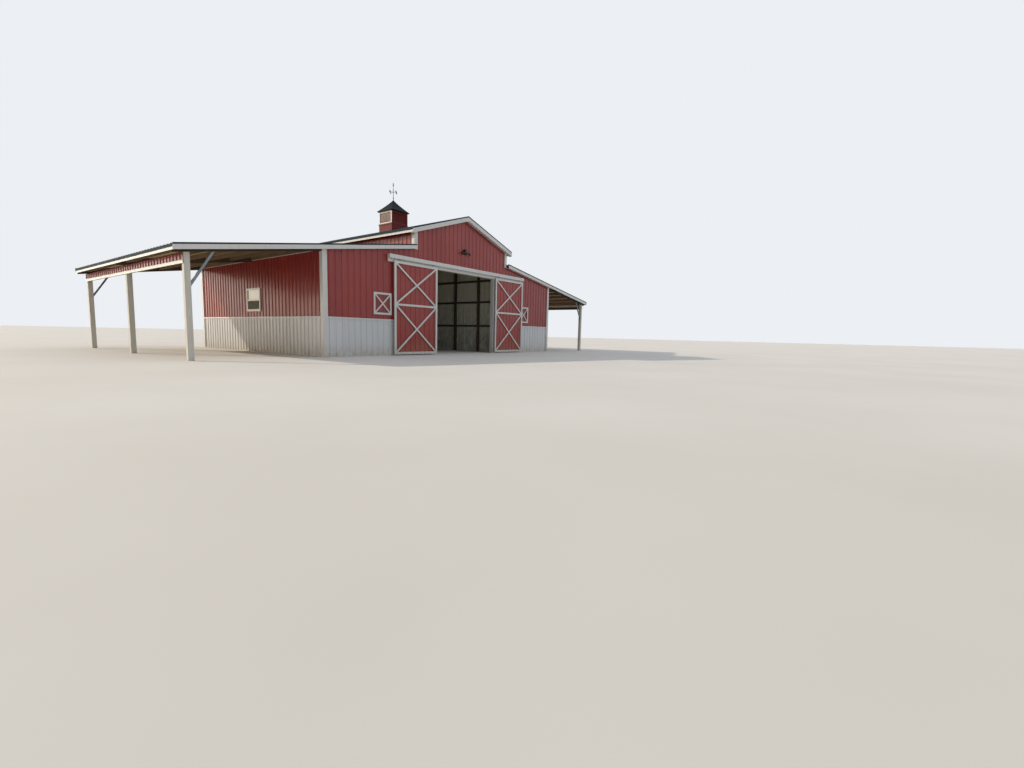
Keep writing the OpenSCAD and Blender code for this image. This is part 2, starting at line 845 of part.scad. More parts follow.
module window_glass() {
    inner_w = window_w - 2 * window_frame_w;
    pane_h = (window_h - sash_h) / 2 - window_frame_w;
    color([0.75, 0.82, 0.85]) at_window() {
        translate([lower_pane_x, window_frame_w, window_frame_w]) cube([glass_t, inner_w, pane_h]);
        translate([upper_pane_x, window_frame_w, (window_h + sash_h) / 2]) cube([glass_t, inner_w, pane_h]);
    }
}

// Lamp with two heads on one arm
module gable_lamp() {
    color(BLACK) translate([-lamp_shift, -half_l, lamp_z]) {
        translate([-1.5 * lamp_r, -2 * lamp_r, -lamp_r]) cube([3 * lamp_r, 2 * lamp_r, 4.5 * lamp_r]);
        translate([-lamp_w / 2, -lamp_out - lamp_r / 2, -lamp_r / 2]) cube([lamp_w, lamp_r, lamp_r]);
        for (side = [-1, 1]) translate([side * (lamp_w / 2 - 1.5 * lamp_r), -lamp_out, -lamp_r / 3])
            rotate([-lamp_lean, 0, 0]) translate([0, 0, -1.5 * lamp_r])
                cylinder(r = lamp_r, h = 2.2 * lamp_r);
    }
}

module cupola_base() {
    step = cap_t + 2 * seat;
    notch = cap_w + seat;
    color(RED) along_y(-cupola_half, cupola_half) polygon([
        [-cupola_half, high_top(cupola_half) + seat], [-notch, high_top(notch) + seat],
        [-notch, high_top(notch) + step], [0, ridge_z + step], [notch, high_top(notch) + step],
        [notch, high_top(notch) + seat], [cupola_half, high_top(cupola_half) + seat],
        [cupola_half, cupola_base_z], [-cupola_half, cupola_base_z]
    ]);
    color(RED) block([-cupola_half - band_proud, -cupola_half - band_proud, cupola_base_z],
        [cupola_half + band_proud, cupola_half + band_proud, louvre_z]);
}

// One side's louvres, on the side that faces the front
module louvre_side() {
    clear = cupola_w - 2 * cupola_post;
    step = (louvre_h - cupola_post) / louvre_count;
    for (i = [0:louvre_count - 1]) translate([-clear / 2, -cupola_half + louvre_set, louvre_z + i * step])
        rotate([90, 0, 90]) linear_extrude(clear) polygon([
            [0, 0], [0, louvre_t], [step, step + louvre_t + louvre_rise], [step, step + louvre_rise]
        ]);
}

module cupola_body() {
    inner = cupola_half - cupola_post;
    color(RED) {
        both_ends() both_sides()
            block([inner, inner, louvre_z], [cupola_half, cupola_half, cupola_eave_z]);
        for (turn = [0:90:270]) rotate(turn) louvre_side();
        block([-cupola_half, -cupola_half, cupola_eave_z - cupola_post],
            [cupola_half, cupola_half, cupola_eave_z]);
    }
}

// Bell-shaped outline of the cupola's roof
module cupola_roof_outline() {
    steps = 6;
    side = [for (i = [0:steps]) let (t = i / steps)
        [cupola_reach * pow(1 - t, 1.18), cupola_eave_z + cupola_lip + (cupola_roof_h - cupola_lip) * t]];
    polygon(concat([[-cupola_reach, cupola_eave_z], [cupola_reach, cupola_eave_z]],
        [for (p = side) p], [for (i = [steps - 1:-1:0]) [-side[i][0], side[i][1]]]));
}

// The roof's shape, shared with the cut at the foot of the weathervane's rod
module cupola_roof_shape() {
    intersection() {
        along_y(-cupola_reach, cupola_reach) cupola_roof_outline();
        rotate(90) along_y(-cupola_reach, cupola_reach) cupola_roof_outline();
    }
}

module cupola_roof() {
    color(BLACK) cupola_roof_shape();
}

module vane_stand() {
    color(BLACK) difference() {
        translate([0, 0, vane_z]) {
            translate([0, 0, -vane_root]) cylinder(r = vane_rod_r, h = vane_rod_h + vane_root);
            cylinder(r = vane_pin_r, h = vane_rod_h + vane_pin_h);
            for (turn = [0:90:270]) rotate(turn) {
                translate([0, 0, vane_arm_h]) rotate([0, 90, 0]) cylinder(r = vane_arm_r, h = vane_arm_l);
                translate([vane_arm_l, 0, vane_arm_h]) along_y(-vane_t / 2, vane_t / 2) polygon([
                    [-vane_pad_w / 2, 0], [0, -vane_pad_h / 2], [vane_pad_w / 2, 0], [0, vane_pad_h / 2]
                ]);
            }
            translate([0, 0, 3 * vane_knob_r]) rotate_extrude() polygon([
                [0, -vane_knob_r], [vane_rod_r, -vane_knob_r], [vane_knob_r, -vane_knob_r / 3],
                [vane_knob_r, vane_knob_r / 3], [vane_rod_r, vane_knob_r], [0, vane_knob_r]
            ]);
        }
        cupola_roof_shape();
    }
}

// Outline of the vane: a rooster on a short bar
module vane_outline() {
    translate([-vane_l / 2, -5]) square([vane_l, 10]);
    polygon([
        [-9, 0], [9, 0], [14, vane_h * 0.3], [52, vane_h * 0.42], [74, vane_h * 0.6], [66, vane_h * 0.78],
        [102, vane_h * 0.86], [76, vane_h * 0.93], [58, vane_h], [38, vane_h * 0.95], [30, vane_h * 0.78],
        [4, vane_h * 0.6], [-40, vane_h * 0.57], [-78, vane_h * 0.76], [-120, vane_h * 0.8],
        [-134, vane_h * 0.62], [-116, vane_h * 0.44], [-72, vane_h * 0.36], [-16, vane_h * 0.28]
    ]);
}

module weathervane() {
    sleeve_r = vane_rod_r + 3;
    sleeve_z = vane_z + vane_rod_h + vane_run;
    color(BLACK) rotate(vane_turn) difference() {
        union() {
            translate([0, 0, sleeve_z]) cylinder(r = sleeve_r, h = vane_pin_h + 12);
            translate([0, vane_t / 2, sleeve_z + vane_pin_h]) rotate([90, 0, 0])
                linear_extrude(vane_t) vane_outline();
        }
        translate([0, 0, sleeve_z - 1]) cylinder(r = vane_pin_r + vane_gap, h = vane_pin_h + 1);
    }
}

front_wall(-1);  // front_wall_left
front_wall(1);  // front_wall_right
front_gable_wall();
rear_wall(-1);  // rear_wall_left
rear_wall(1);  // rear_wall_right
rear_gable_wall();
side_wall(-1);  // left_side_wall
side_wall(1);  // right_side_wall
aisle_walls();
clerestory_walls();
wainscot();
belt_trim();
corner_trim();
low_roof(-1);  // left_low_roof
low_roof(1);  // right_low_roof
high_roof(-1);  // left_high_roof
high_roof(1);  // right_high_roof
ridge_cap();
rake_trim();
eave_trim();
skirt_panels();
lean_to_posts();
outer_posts();
inner_posts();
rafters();
purlins();
beams();
girts();
knee_braces();
door_jambs();
door_casing();
track_board();
door_track();
track_cover();
place_left() door_panel_shape();  // left_door_panel
place_left() door_frame_shape();  // left_door_frame
place_left() door_trolleys_shape();  // left_door_trolleys
place_right() door_panel_shape();  // right_door_panel
place_right() door_frame_shape();  // right_door_frame
place_right() door_trolleys_shape();  // right_door_trolleys
shutter_frames();
shutter_panels();
window_frames();
window_glass();
gable_lamp();
cupola_base();
cupola_body();
cupola_roof();
vane_stand();
weathervane();
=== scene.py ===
"""Looks of a red steel barn: ribbed sheets, folded trims, timber frame, sliding doors, cupola and vane."""
import logging
import math
from dataclasses import dataclass
from enum import Enum
from typing import Callable, Iterable, Sequence

import bmesh
import bpy
from bpy.types import Material, Mesh, Node, NodeSocket, NodeTree, Object
from mathutils import Matrix, Vector


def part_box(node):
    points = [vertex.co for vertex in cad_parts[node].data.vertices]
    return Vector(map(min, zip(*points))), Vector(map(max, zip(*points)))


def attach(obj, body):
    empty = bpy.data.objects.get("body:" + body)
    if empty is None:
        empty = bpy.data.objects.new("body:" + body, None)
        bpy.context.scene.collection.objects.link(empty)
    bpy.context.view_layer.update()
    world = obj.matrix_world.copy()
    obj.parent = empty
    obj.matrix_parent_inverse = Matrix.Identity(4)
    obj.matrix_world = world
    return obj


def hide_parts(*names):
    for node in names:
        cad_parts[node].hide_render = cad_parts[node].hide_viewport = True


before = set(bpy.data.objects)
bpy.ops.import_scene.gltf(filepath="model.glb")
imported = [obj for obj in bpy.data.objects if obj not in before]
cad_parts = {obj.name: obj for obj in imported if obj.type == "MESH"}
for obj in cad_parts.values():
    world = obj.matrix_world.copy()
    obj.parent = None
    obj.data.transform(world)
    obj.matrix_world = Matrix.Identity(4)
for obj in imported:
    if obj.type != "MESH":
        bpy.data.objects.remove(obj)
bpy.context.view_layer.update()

log = logging.getLogger("barn")

Point = tuple[float, float]
Line = Sequence[Point]
Hole = tuple[float, float, float, float]
Place = Callable[[float, float, float], Vector]

BODY = "barn"
# The UV map and the face attribute that dress_copy lays on timber.
GRAIN_MAP = "UVMap"
BOARD_TONE = "board"
# Lengths are in metres, angles in radians.
SAME_SPOT = 1e-5
HAIR = 1e-9
LEAST_COLUMN = 2e-4
FOLD_GAUGE = 0.0015
LIP_GAUGE = 0.0012
IN_PLANE = math.radians(0.8)
SHARP_EDGE = math.radians(25)
# The least share of a fold's gauge that a mitre is reckoned with, so that a tight bend makes no spike.
LEAST_MITRE = 0.35
# Steps of the golden ratio give each solid its own tone of board.
GOLDEN = 0.6180339887
X, Y, Z = Vector((1, 0, 0)), Vector((0, 1, 0)), Vector((0, 0, 1))


class Side(Enum):
    """A side of the barn, seen from its front, and which way it lies along x."""

    LEFT = -1
    RIGHT = 1


class End(Enum):
    """An end of the barn, and which way it lies along y."""

    FRONT = -1
    REAR = 1


def linear(code: str) -> tuple[float, float, float, float]:
    """Turns an sRGB hex colour into a linear one.

    Args:
        code: the colour, such as "#8E2F2A".

    Returns:
        Red, green, blue and alpha, from 0 to 1.
    """
    parts = [int(code[i:i + 2], 16) / 255 for i in (1, 3, 5)]
    red, green, blue = (v / 12.92 if v <= 0.04045 else ((v + 0.055) / 1.055) ** 2.4 for v in parts)
    return red, green, blue, 1.0


def feed(tree: NodeTree, node: Node, sockets: dict) -> None:
    """Puts a value, or another node's output, into each of a node's inputs.

    Args:
        tree: the tree that holds the node.
        node: the node.
        sockets: what goes into each input, by name or number. A node stands for its first output.
    """
    for key, value in sockets.items():
        if isinstance(value, Node):
            value = value.outputs[0]
        if isinstance(value, NodeSocket):
            tree.links.new(value, node.inputs[key])
        else:
            node.inputs[key].default_value = value


def add(tree: NodeTree, kind: str, sockets: dict | None = None, **settings) -> Node:
    """Adds a node with its settings, values and links.

    Args:
        tree: the tree that gets the node.
        kind: the node's type name.
        sockets: what goes into each input, as for feed.
        **settings: the node's own properties.

    Returns:
        The new node.
    """
    node = tree.nodes.new(kind)
    for name, value in settings.items():
        setattr(node, name, value)
    feed(tree, node, sockets or {})
    return node


@dataclass(frozen=True)
class Bench:
    """A material while it is made: its tree, its shader, and the point being shaded, in metres."""

    tree: NodeTree
    shader: Node
    place: NodeSocket

    @classmethod
    def of(cls, paint: Material) -> "Bench":
        """Readies a new material.

        Args:
            paint: the material.

        Returns:
            Its bench.
        """
        paint.use_nodes = True
        tree = paint.node_tree
        return cls(tree, tree.nodes["Principled BSDF"], add(tree, "ShaderNodeTexCoord").outputs["Object"])


@dataclass(frozen=True)
class Mottle:
    """An uneven grey from noise, stretched along the axes.

    stretch is how many spots a metre holds along each axis. low and high are the noise that gives 0 and 1.
    """

    stretch: tuple[float, float, float]
    low: float = 0.35
    high: float = 0.7
    detail: float = 3.0

    def grey(self, on: Bench) -> NodeSocket:
        """Adds the noise to a material.

        Args:
            on: the material's bench.

        Returns:
            The socket that gives the grey, from 0 to 1.
        """
        mapped = add(on.tree, "ShaderNodeMapping", {"Vector": on.place, "Scale": self.stretch})
        spots = add(on.tree, "ShaderNodeTexNoise", {
            "Vector": mapped, "Scale": 1.0, "Detail": self.detail})
        return add(on.tree, "ShaderNodeMapRange", {
            "Value": spots, "From Min": self.low, "From Max": self.high}, clamp=True).outputs[0]


SLOW_FADE = Mottle((0.5, 0.5, 0.7), 0.35, 0.75)
RAIN_STREAK = Mottle((14.0, 14.0, 0.45), 0.56, 0.8, 4.0)
SPLASH = Mottle((9.0, 9.0, 5.0), 0.3, 0.62, 5.0)
HANDLED = Mottle((5.0, 5.0, 2.0), 0.3, 0.7)
GRIME = Mottle((2.0, 2.0, 2.0), 0.45, 0.75, 5.0)
DULLING = Mottle((1.2, 1.2, 1.2), 0.42, 0.72, 5.0)
CHALKING = Mottle((7.0, 7.0, 3.0), 0.4, 0.75, 4.0)
SPRAY = Mottle((30.0, 30.0, 30.0), 0.3, 0.7)
YELLOWING = Mottle((3.0, 3.0, 5.0), 0.4, 0.7)
DUST_FILM = Mottle((6.0, 6.0, 9.0), 0.3, 0.8, 5.0)
FLOOR_TONE = Mottle((0.3, 0.3, 0.3), 0.3, 0.7)


@dataclass(frozen=True)
class Relief:
    """A low unevenness from noise: its spots to a metre, their detail, strength and depth."""

    spots: float
    detail: float
    strength: float
    depth: float

    def normal(self, on: Bench, under: NodeSocket | None = None, share: float = 1.0) -> NodeSocket:
        """Adds the unevenness to a material.

        Args:
            on: the material's bench.
            under: the normal that it lies on, or None for the smooth one.
            share: how much of the strength it has.

        Returns:
            The socket of the uneven normal.
        """
        noise = add(on.tree, "ShaderNodeTexNoise", {
            "Vector": on.place, "Scale": self.spots, "Detail": self.detail})
        sockets = {"Height": noise.outputs["Fac"], "Strength": self.strength * share, "Distance": self.depth}
        if under is not None:
            sockets["Normal"] = under
        return add(on.tree, "ShaderNodeBump", sockets).outputs[0]


PAN_WAVE = Relief(2.2, 1.0, 1.0, 0.02)
# Baked paint's orange peel is about 1 mm across. It is drawn at 2.4 mm, so that it shows.
ORANGE_PEEL = Relief(420.0, 2.0, 0.06, 0.002)
ZINC_WAVE = Relief(3.0, 2.0, 0.3, 0.01)
SPRAY_SKIN = Relief(300.0, 1.0, 0.1, 0.001)
DRAWN_WAVE = Relief(160.0, 2.0, 0.08, 0.001)
PANE_WAVE = Relief(5.0, 0.0, 0.1, 0.01)
# A Wave Texture of scale 1 repeats at this many metres.
WAVE_LENGTH = 0.314


def lay(on: Bench, base: str | NodeSocket, over: str, mask: NodeSocket, most: float = 1.0) -> NodeSocket:
    """Lays a colour over a base, as thick as a mask says.

    Args:
        on: the material's bench.
        base: what lies beneath, as a hex colour or another layer's socket.
        over: the hex colour on top.
        mask: where it lies, from 0 to 1.
        most: how much of the base it hides where the mask is 1.

    Returns:
        The socket of the layered colour.
    """
    cover = add(on.tree, "ShaderNodeMath", {0: mask, 1: most}, operation="MULTIPLY")
    under = linear(base) if isinstance(base, str) else base
    return add(on.tree, "ShaderNodeMix", {
        0: cover, 6: under, 7: linear(over)}, data_type="RGBA").outputs[2]


@dataclass(frozen=True)
class Finish:
    """What each finish has: the name of its material, its record slot, its main colour and its roughness.

    smoother and rougher are how far the roughness goes below and above its usual value.
    """

    name: str
    slot: str
    colour: str
    roughness: float = 0.5
    smoother: float = 0.05
    rougher: float = 0.1

    def material(self) -> Material:
        """Finds the finish's material, or builds it the first time.

        Returns:
            The material.
        """
        made = bpy.data.materials.get(self.name)
        if made is None:
            made = bpy.data.materials.new(self.name)
            made.diffuse_color = linear(self.colour)
            on = Bench.of(made)
            feed(on.tree, on.shader, self.dress(on))
        return made

    def dress(self, on: Bench) -> dict:
        """Adds the finish's own nodes.

        Args:
            on: the material's bench.

        Returns:
            What goes into each of the shader's inputs.
        """
        raise NotImplementedError

    def sheen(self, on: Bench, grey: NodeSocket) -> NodeSocket:
        """Returns a roughness that is smoother where a grey is 0, and rougher where it is 1."""
        return add(on.tree, "ShaderNodeMapRange", {
            "Value": grey, "To Min": self.roughness - self.smoother,
            "To Max": self.roughness + self.rougher}).outputs[0]


@dataclass(frozen=True)
class BakedPaint(Finish):
    """Coil-coated steel: satin baked paint that chalks a little, streaks under rain and takes dust low down.

    To the eye it is an even colour with a soft sheen, paler on some sheets, darker down the rain's way.
    """

    faded: str = "#9A3D34"
    stain: str = "#5A241F"
    dust: str = "#9A8468"
    fade_most: float = 0.35
    stain_most: float = 0.30
    dust_height: float = 0.5
    dust_most: float = 0.4
    roughness: float = 0.33
    gloss: float = 0.2
    gloss_roughness: float = 0.12
    specular: float = 0.23
    sheets: float = 0.5
    dent: float = 0.35
    sheet_width: float = 0.9144
    first_sheet: float = 0.2406

    def dress(self, on: Bench) -> dict:
        """Adds fading, sheet to sheet change, rain streaks, dust and the slight waves of rolled sheet.

        Args:
            on: the material's bench.

        Returns:
            What goes into each of the shader's inputs.
        """
        tree = on.tree
        parts = add(tree, "ShaderNodeSeparateXYZ", {0: on.place})
        sheet = [add(tree, "ShaderNodeMath", {
            0: add(tree, "ShaderNodeMath", {0: parts.outputs[axis], 1: self.first_sheet}),
            1: self.sheet_width}, operation="SNAP") for axis in (0, 1)]
        tone = add(tree, "ShaderNodeTexWhiteNoise", {
            "Vector": add(tree, "ShaderNodeCombineXYZ", {0: sheet[0], 1: sheet[1]})})
        foot = add(tree, "ShaderNodeMapRange", {
            "Value": parts.outputs["Z"], "From Max": self.dust_height, "To Min": 1.0, "To Max": 0.0},
            clamp=True, interpolation_type="SMOOTHSTEP")
        splashed = add(tree, "ShaderNodeMath", {0: foot, 1: SPLASH.grey(on)}, operation="MULTIPLY")
        base = lay(on, self.colour, self.faded, tone.outputs["Value"], self.sheets)
        base = lay(on, base, self.faded, SLOW_FADE.grey(on), self.fade_most)
        base = lay(on, base, self.stain, RAIN_STREAK.grey(on), self.stain_most)
        return {
            "Base Color": lay(on, base, self.dust, splashed.outputs[0], self.dust_most),
            "Roughness": self.sheen(on, HANDLED.grey(on)),
            "Coat Weight": self.gloss, "Coat Roughness": self.gloss_roughness,
            "Specular IOR Level": self.specular,
            "Normal": ORANGE_PEEL.normal(on, PAN_WAVE.normal(on, share=self.dent)),
        }


@dataclass(frozen=True)
class ZincAluminium(Finish):
    """Hot-dipped zinc coating on steel, a few years old.

    To the eye it is a cool grey metal with a fine flowered spangle, duller where rain and dust have lain.
    """

    dull: str = "#7C8386"
    dull_most: float = 0.55
    spangle: float = 0.008
    spangle_most: float = 0.35
    metal: float = 0.75
    roughness: float = 0.42
    smoother: float = 0.07

    def dress(self, on: Bench) -> dict:
        """Adds spangle, drawn coarser than the real 4 mm so that it shows, with dull patches and a fine bump.

        Args:
            on: the material's bench.

        Returns:
            What goes into each of the shader's inputs.
        """
        flower = add(on.tree, "ShaderNodeTexVoronoi", {"Vector": on.place, "Scale": 1 / self.spangle})
        shade = add(on.tree, "ShaderNodeSeparateColor", {0: flower.outputs["Color"]})
        base = lay(on, self.colour, self.dull, shade.outputs[0], self.spangle_most)
        return {
            "Base Color": lay(on, base, self.dull, DULLING.grey(on), self.dull_most), "Metallic": self.metal,
            "Roughness": self.sheen(on, shade.outputs[1]),
            "Normal": ZINC_WAVE.normal(on),
        }


@dataclass(frozen=True)
class SawnTimber(Finish):
    """Circular-sawn softwood, left bare and darkened by weather and dust; as the frame's timber it is darker
    still, with painted shade.

    To the eye it is brown with long grain lines, some knots, and a rough matt face with faint saw marks.
    """

    dark: str = "#2C221B"
    bright: str = "#7A6650"
    bright_most: float = 0.45
    knot_most: float = 0.7
    grime_most: float = 0.3
    roughness: float = 0.82
    grain: tuple[float, float, float] = (1.6, 95.0, 1.0)
    knots: tuple[float, float, float] = (1.5, 7.0, 1.0)
    saw: float = 22.0

    def dress(self, on: Bench) -> dict:
        """Adds grain about 10 mm wide along each piece, knots, a tone for each piece, and the saw's marks.

        Args:
            on: the material's bench.

        Returns:
            What goes into each of the shader's inputs.
        """
        tree = on.tree
        along = add(tree, "ShaderNodeUVMap", uv_map=GRAIN_MAP)
        board = add(tree, "ShaderNodeAttribute", attribute_name=BOARD_TONE).outputs["Fac"]
        shift = add(tree, "ShaderNodeCombineXYZ", {0: board, 1: board})
        shifted = add(tree, "ShaderNodeVectorMath", {0: along, 1: shift}, operation="ADD")
        line, knot_place = (add(tree, "ShaderNodeMapping", {"Vector": shifted, "Scale": scale})
                            for scale in (self.grain, self.knots))
        ring = add(tree, "ShaderNodeTexNoise", {
            "Vector": line, "Scale": 1.0, "Detail": 4.0, "Distortion": 0.6})
        lines = add(tree, "ShaderNodeMapRange", {
            "Value": ring.outputs["Fac"], "From Min": 0.35, "From Max": 0.7}, clamp=True).outputs[0]
        knot = add(tree, "ShaderNodeTexVoronoi", {"Vector": knot_place, "Scale": 1.0})
        near = add(tree, "ShaderNodeMapRange", {
            "Value": knot.outputs["Distance"], "From Min": 0.03, "From Max": 0.12,
            "To Min": 1.0, "To Max": 0.0}, clamp=True)
        base = lay(on, self.colour, self.dark, lines)
        base = lay(on, base, self.bright, board, self.bright_most)
        base = lay(on, base, self.dark, near.outputs[0], self.knot_most)
        saw = add(tree, "ShaderNodeTexWave", {
            "Vector": shifted, "Scale": self.saw, "Distortion": 3.0, "Detail": 2.0}, bands_direction="X")
        rough = add(tree, "ShaderNodeBump", {"Height": lines, "Strength": 0.5, "Distance": 0.002})
        marks = add(tree, "ShaderNodeBump", {
            "Height": saw.outputs["Fac"], "Normal": rough, "Strength": 0.18, "Distance": 0.002})
        return {"Base Color": lay(on, base, self.dark, GRIME.grey(on), self.grime_most),
                "Roughness": self.roughness, "Normal": marks}


@dataclass(frozen=True)
class Enamel(Finish):
    """Black or charcoal enamel on metal, sprayed and baked.

    To the eye it is near black with a soft sheen, greyed in patches where the sun has chalked it.
    """

    chalk: str = "#4A4C50"
    chalk_most: float = 0.5
    roughness: float = 0.45
    rougher: float = 0.12
    specular: float = 0.15

    def dress(self, on: Bench) -> dict:
        """Adds chalked patches, a sheen that varies finely and the light bump of sprayed enamel.

        Args:
            on: the material's bench.

        Returns:
            What goes into each of the shader's inputs.
        """
        return {
            "Base Color": lay(on, self.colour, self.chalk, CHALKING.grey(on), self.chalk_most),
            "Roughness": self.sheen(on, SPRAY.grey(on)),
            "Specular IOR Level": self.specular, "Normal": SPRAY_SKIN.normal(on),
        }


@dataclass(frozen=True)
class MouldedVinyl(Finish):
    """Extruded white vinyl of a window frame: to the eye smooth, satin and a little yellowed."""

    aged: str = "#CFC8B4"
    roughness: float = 0.35

    def dress(self, on: Bench) -> dict:
        """Returns slow yellowing, an even roughness and the faint waves of a drawn section."""
        return {"Base Color": lay(on, self.colour, self.aged, YELLOWING.grey(on)),
                "Roughness": self.roughness, "Normal": DRAWN_WAVE.normal(on)}


@dataclass(frozen=True)
class WindowGlass(Finish):
    """Float glass with a green edge tint and a film of dust.

    To the eye it mirrors the pale sky, and shows a dim, pale green depth.
    """

    film: str = "#D8D9C6"
    clear: float = 0.12
    ior: float = 1.52
    roughness: float = 0.04
    smoother: float = 0.0
    rougher: float = 0.18

    def dress(self, on: Bench) -> dict:
        """Returns the film of dust, a glass that lets little light through, and small waves in the pane."""
        dust = DUST_FILM.grey(on)
        return {"Base Color": lay(on, self.colour, self.film, dust),
                "Roughness": self.sheen(on, dust), "Transmission Weight": self.clear, "IOR": self.ior,
                "Normal": PANE_WAVE.normal(on)}


@dataclass(frozen=True)
class WovenScreen(Finish):
    """Fibreglass insect mesh, 18 threads an inch: a matt grey-green veil whose weave just shows close up."""

    gap: str = "#33372F"
    dust: str = "#8D8A74"
    dust_most: float = 0.4
    thread: float = 0.0014
    roughness: float = 0.8

    def dress(self, on: Bench) -> dict:
        """Adds both ways of the weave, as darker gaps between threads, and dust caught in it.

        Args:
            on: the material's bench.

        Returns:
            What goes into each of the shader's inputs.
        """
        weave = [add(on.tree, "ShaderNodeTexWave", {"Vector": on.place, "Scale": WAVE_LENGTH / self.thread},
                     bands_direction=way).outputs["Fac"] for way in ("Y", "Z")]
        threads = add(on.tree, "ShaderNodeMath", {0: weave[0], 1: weave[1]}, operation="MULTIPLY").outputs[0]
        bump = add(on.tree, "ShaderNodeBump", {"Height": threads, "Strength": 0.4, "Distance": 0.0005})
        base = lay(on, self.gap, self.colour, threads)
        return {"Base Color": lay(on, base, self.dust, DUST_FILM.grey(on), self.dust_most),
                "Roughness": self.roughness, "Normal": bump}


RED = BakedPaint("baked_paint_barn_red", "red_sheet", "#862B26")
DOOR_RED = BakedPaint("baked_paint_door_red", "door_red", "#8A2D26", dust_height=0.7)
SHUTTER_RED = BakedPaint("baked_paint_shutter_red", "red_sheet", "#7C302C")
WHITE_SHEET = BakedPaint("baked_paint_white_sheet", "white_sheet", "#CFD0CF", faded="#C4C6C5",
                         stain="#A09C92", dust="#A8997F", dust_most=0.6)
TRIM = BakedPaint("baked_paint_white_trim", "white_trim", "#D3D2CD", faded="#C9C8C2", stain="#A9A497",
                  dust="#A8977A", dust_most=0.5, gloss=0.1, specular=0.2, sheets=0.2, dent=0.12)
# Here the dust colour is a blue-grey that makes the sheets' inner faces darker and bluer towards the bottom,
# up to 3.4 m.
BACKING = BakedPaint("backing_coat_on_sheet", "inner_sheet", "#E2DFC8", faded="#E8E5D0", stain="#8C8A78",
                     dust="#8B9294", dust_height=3.4, dust_most=0.62, roughness=0.4)
ROOF = BakedPaint("baked_paint_slate_roof", "roof_sheet", "#3F4B50", faded="#4B585D", stain="#2C363A",
                  dust="#6D6A60", roughness=0.5, gloss=0.0, specular=0.06)
# The drips and lips are darker and duller than the roof: slate paint, with the shadow under the roof's
# overhang painted in.
DRIP_AND_PAINTED_SHADOW = BakedPaint("baked_paint_slate_drip", "roof_sheet", "#2E3B41", faded="#36444A", stain="#232C30",
                  dust_most=0.0, roughness=0.6, gloss=0.0, specular=0.02, dent=0.1)
ROOF_BACK = BakedPaint("backing_coat_under_roof", "roof_sheet", "#C2AF8C", faded="#CDBB98", stain="#93825F",
                       dust="#8F8266", roughness=0.55, gloss=0.1)
ZINC = ZincAluminium("hot_dip_zinc_steel", "zinc_steel", "#8D9396", dull="#696E70")
BRACE_ZINC = ZincAluminium("hot_dip_zinc_brace", "dark_timber", "#767C80", dull="#5C6164")
# The frame's timber is near black: weathered wood, darkened further by painted shade of the dim inside.
TIMBER_AGED_AND_SHADED = SawnTimber("sawn_softwood_aged", "dark_timber", "#3A2F26")
PURLIN = SawnTimber("sawn_softwood_purlin", "dark_timber", "#7A6348", dark="#55432F", bright="#9A8262")
POST = SawnTimber("planed_post_white_stain", "post_timber", "#CBC7BC", dark="#B3AEA2", bright="#DAD7CE",
                  roughness=0.7)
VINYL = MouldedVinyl("extruded_vinyl_off_white", "window_white", "#D6D1C4")
GLASS = WindowGlass("float_glass_dusty", "window_glass", "#B9C2B0")
SCREEN = WovenScreen("insect_screen_grey_green", "window_glass", "#777A66")
LAMP_BLACK = Enamel("baked_enamel_lamp_black", "lamp_black", "#1B1B1D")
VANE_BLACK = Enamel("forged_steel_black_enamel", "vane_black", "#1A1C22")
CHARCOAL = Enamel("charcoal_enamel_on_roof_steel", "cupola_black", "#0F1114", chalk="#15181C",
                  roughness=0.55, specular=0.04)
TRIM_SEAM = BakedPaint("baked_paint_trim_seam", "white_trim", "#8E8B82", faded="#98958B", stain="#6B675F",
                       sheets=0.1, dent=0.0)
# A darker red than the walls': painted shade, standing for the shade on the cupola's front, laid on all its
# red.
CUPOLA_RED_PAINTED_SHADE = BakedPaint("baked_paint_cupola_red", "red_sheet", "#66201C", faded="#722823", dust_most=0.0,
                        gloss=0.0, specular=0.1, sheets=0.1)
# A pale greyish red: painted highlight of low sun glancing on the red louvres, used on the left and right
# faces.
LOUVRE_PAINTED_HIGHLIGHT = BakedPaint("baked_paint_louvre_pale", "red_sheet", "#84695F", faded="#90756B", stain="#665049",
                         gloss=0.0, specular=0.1, sheets=0.1)


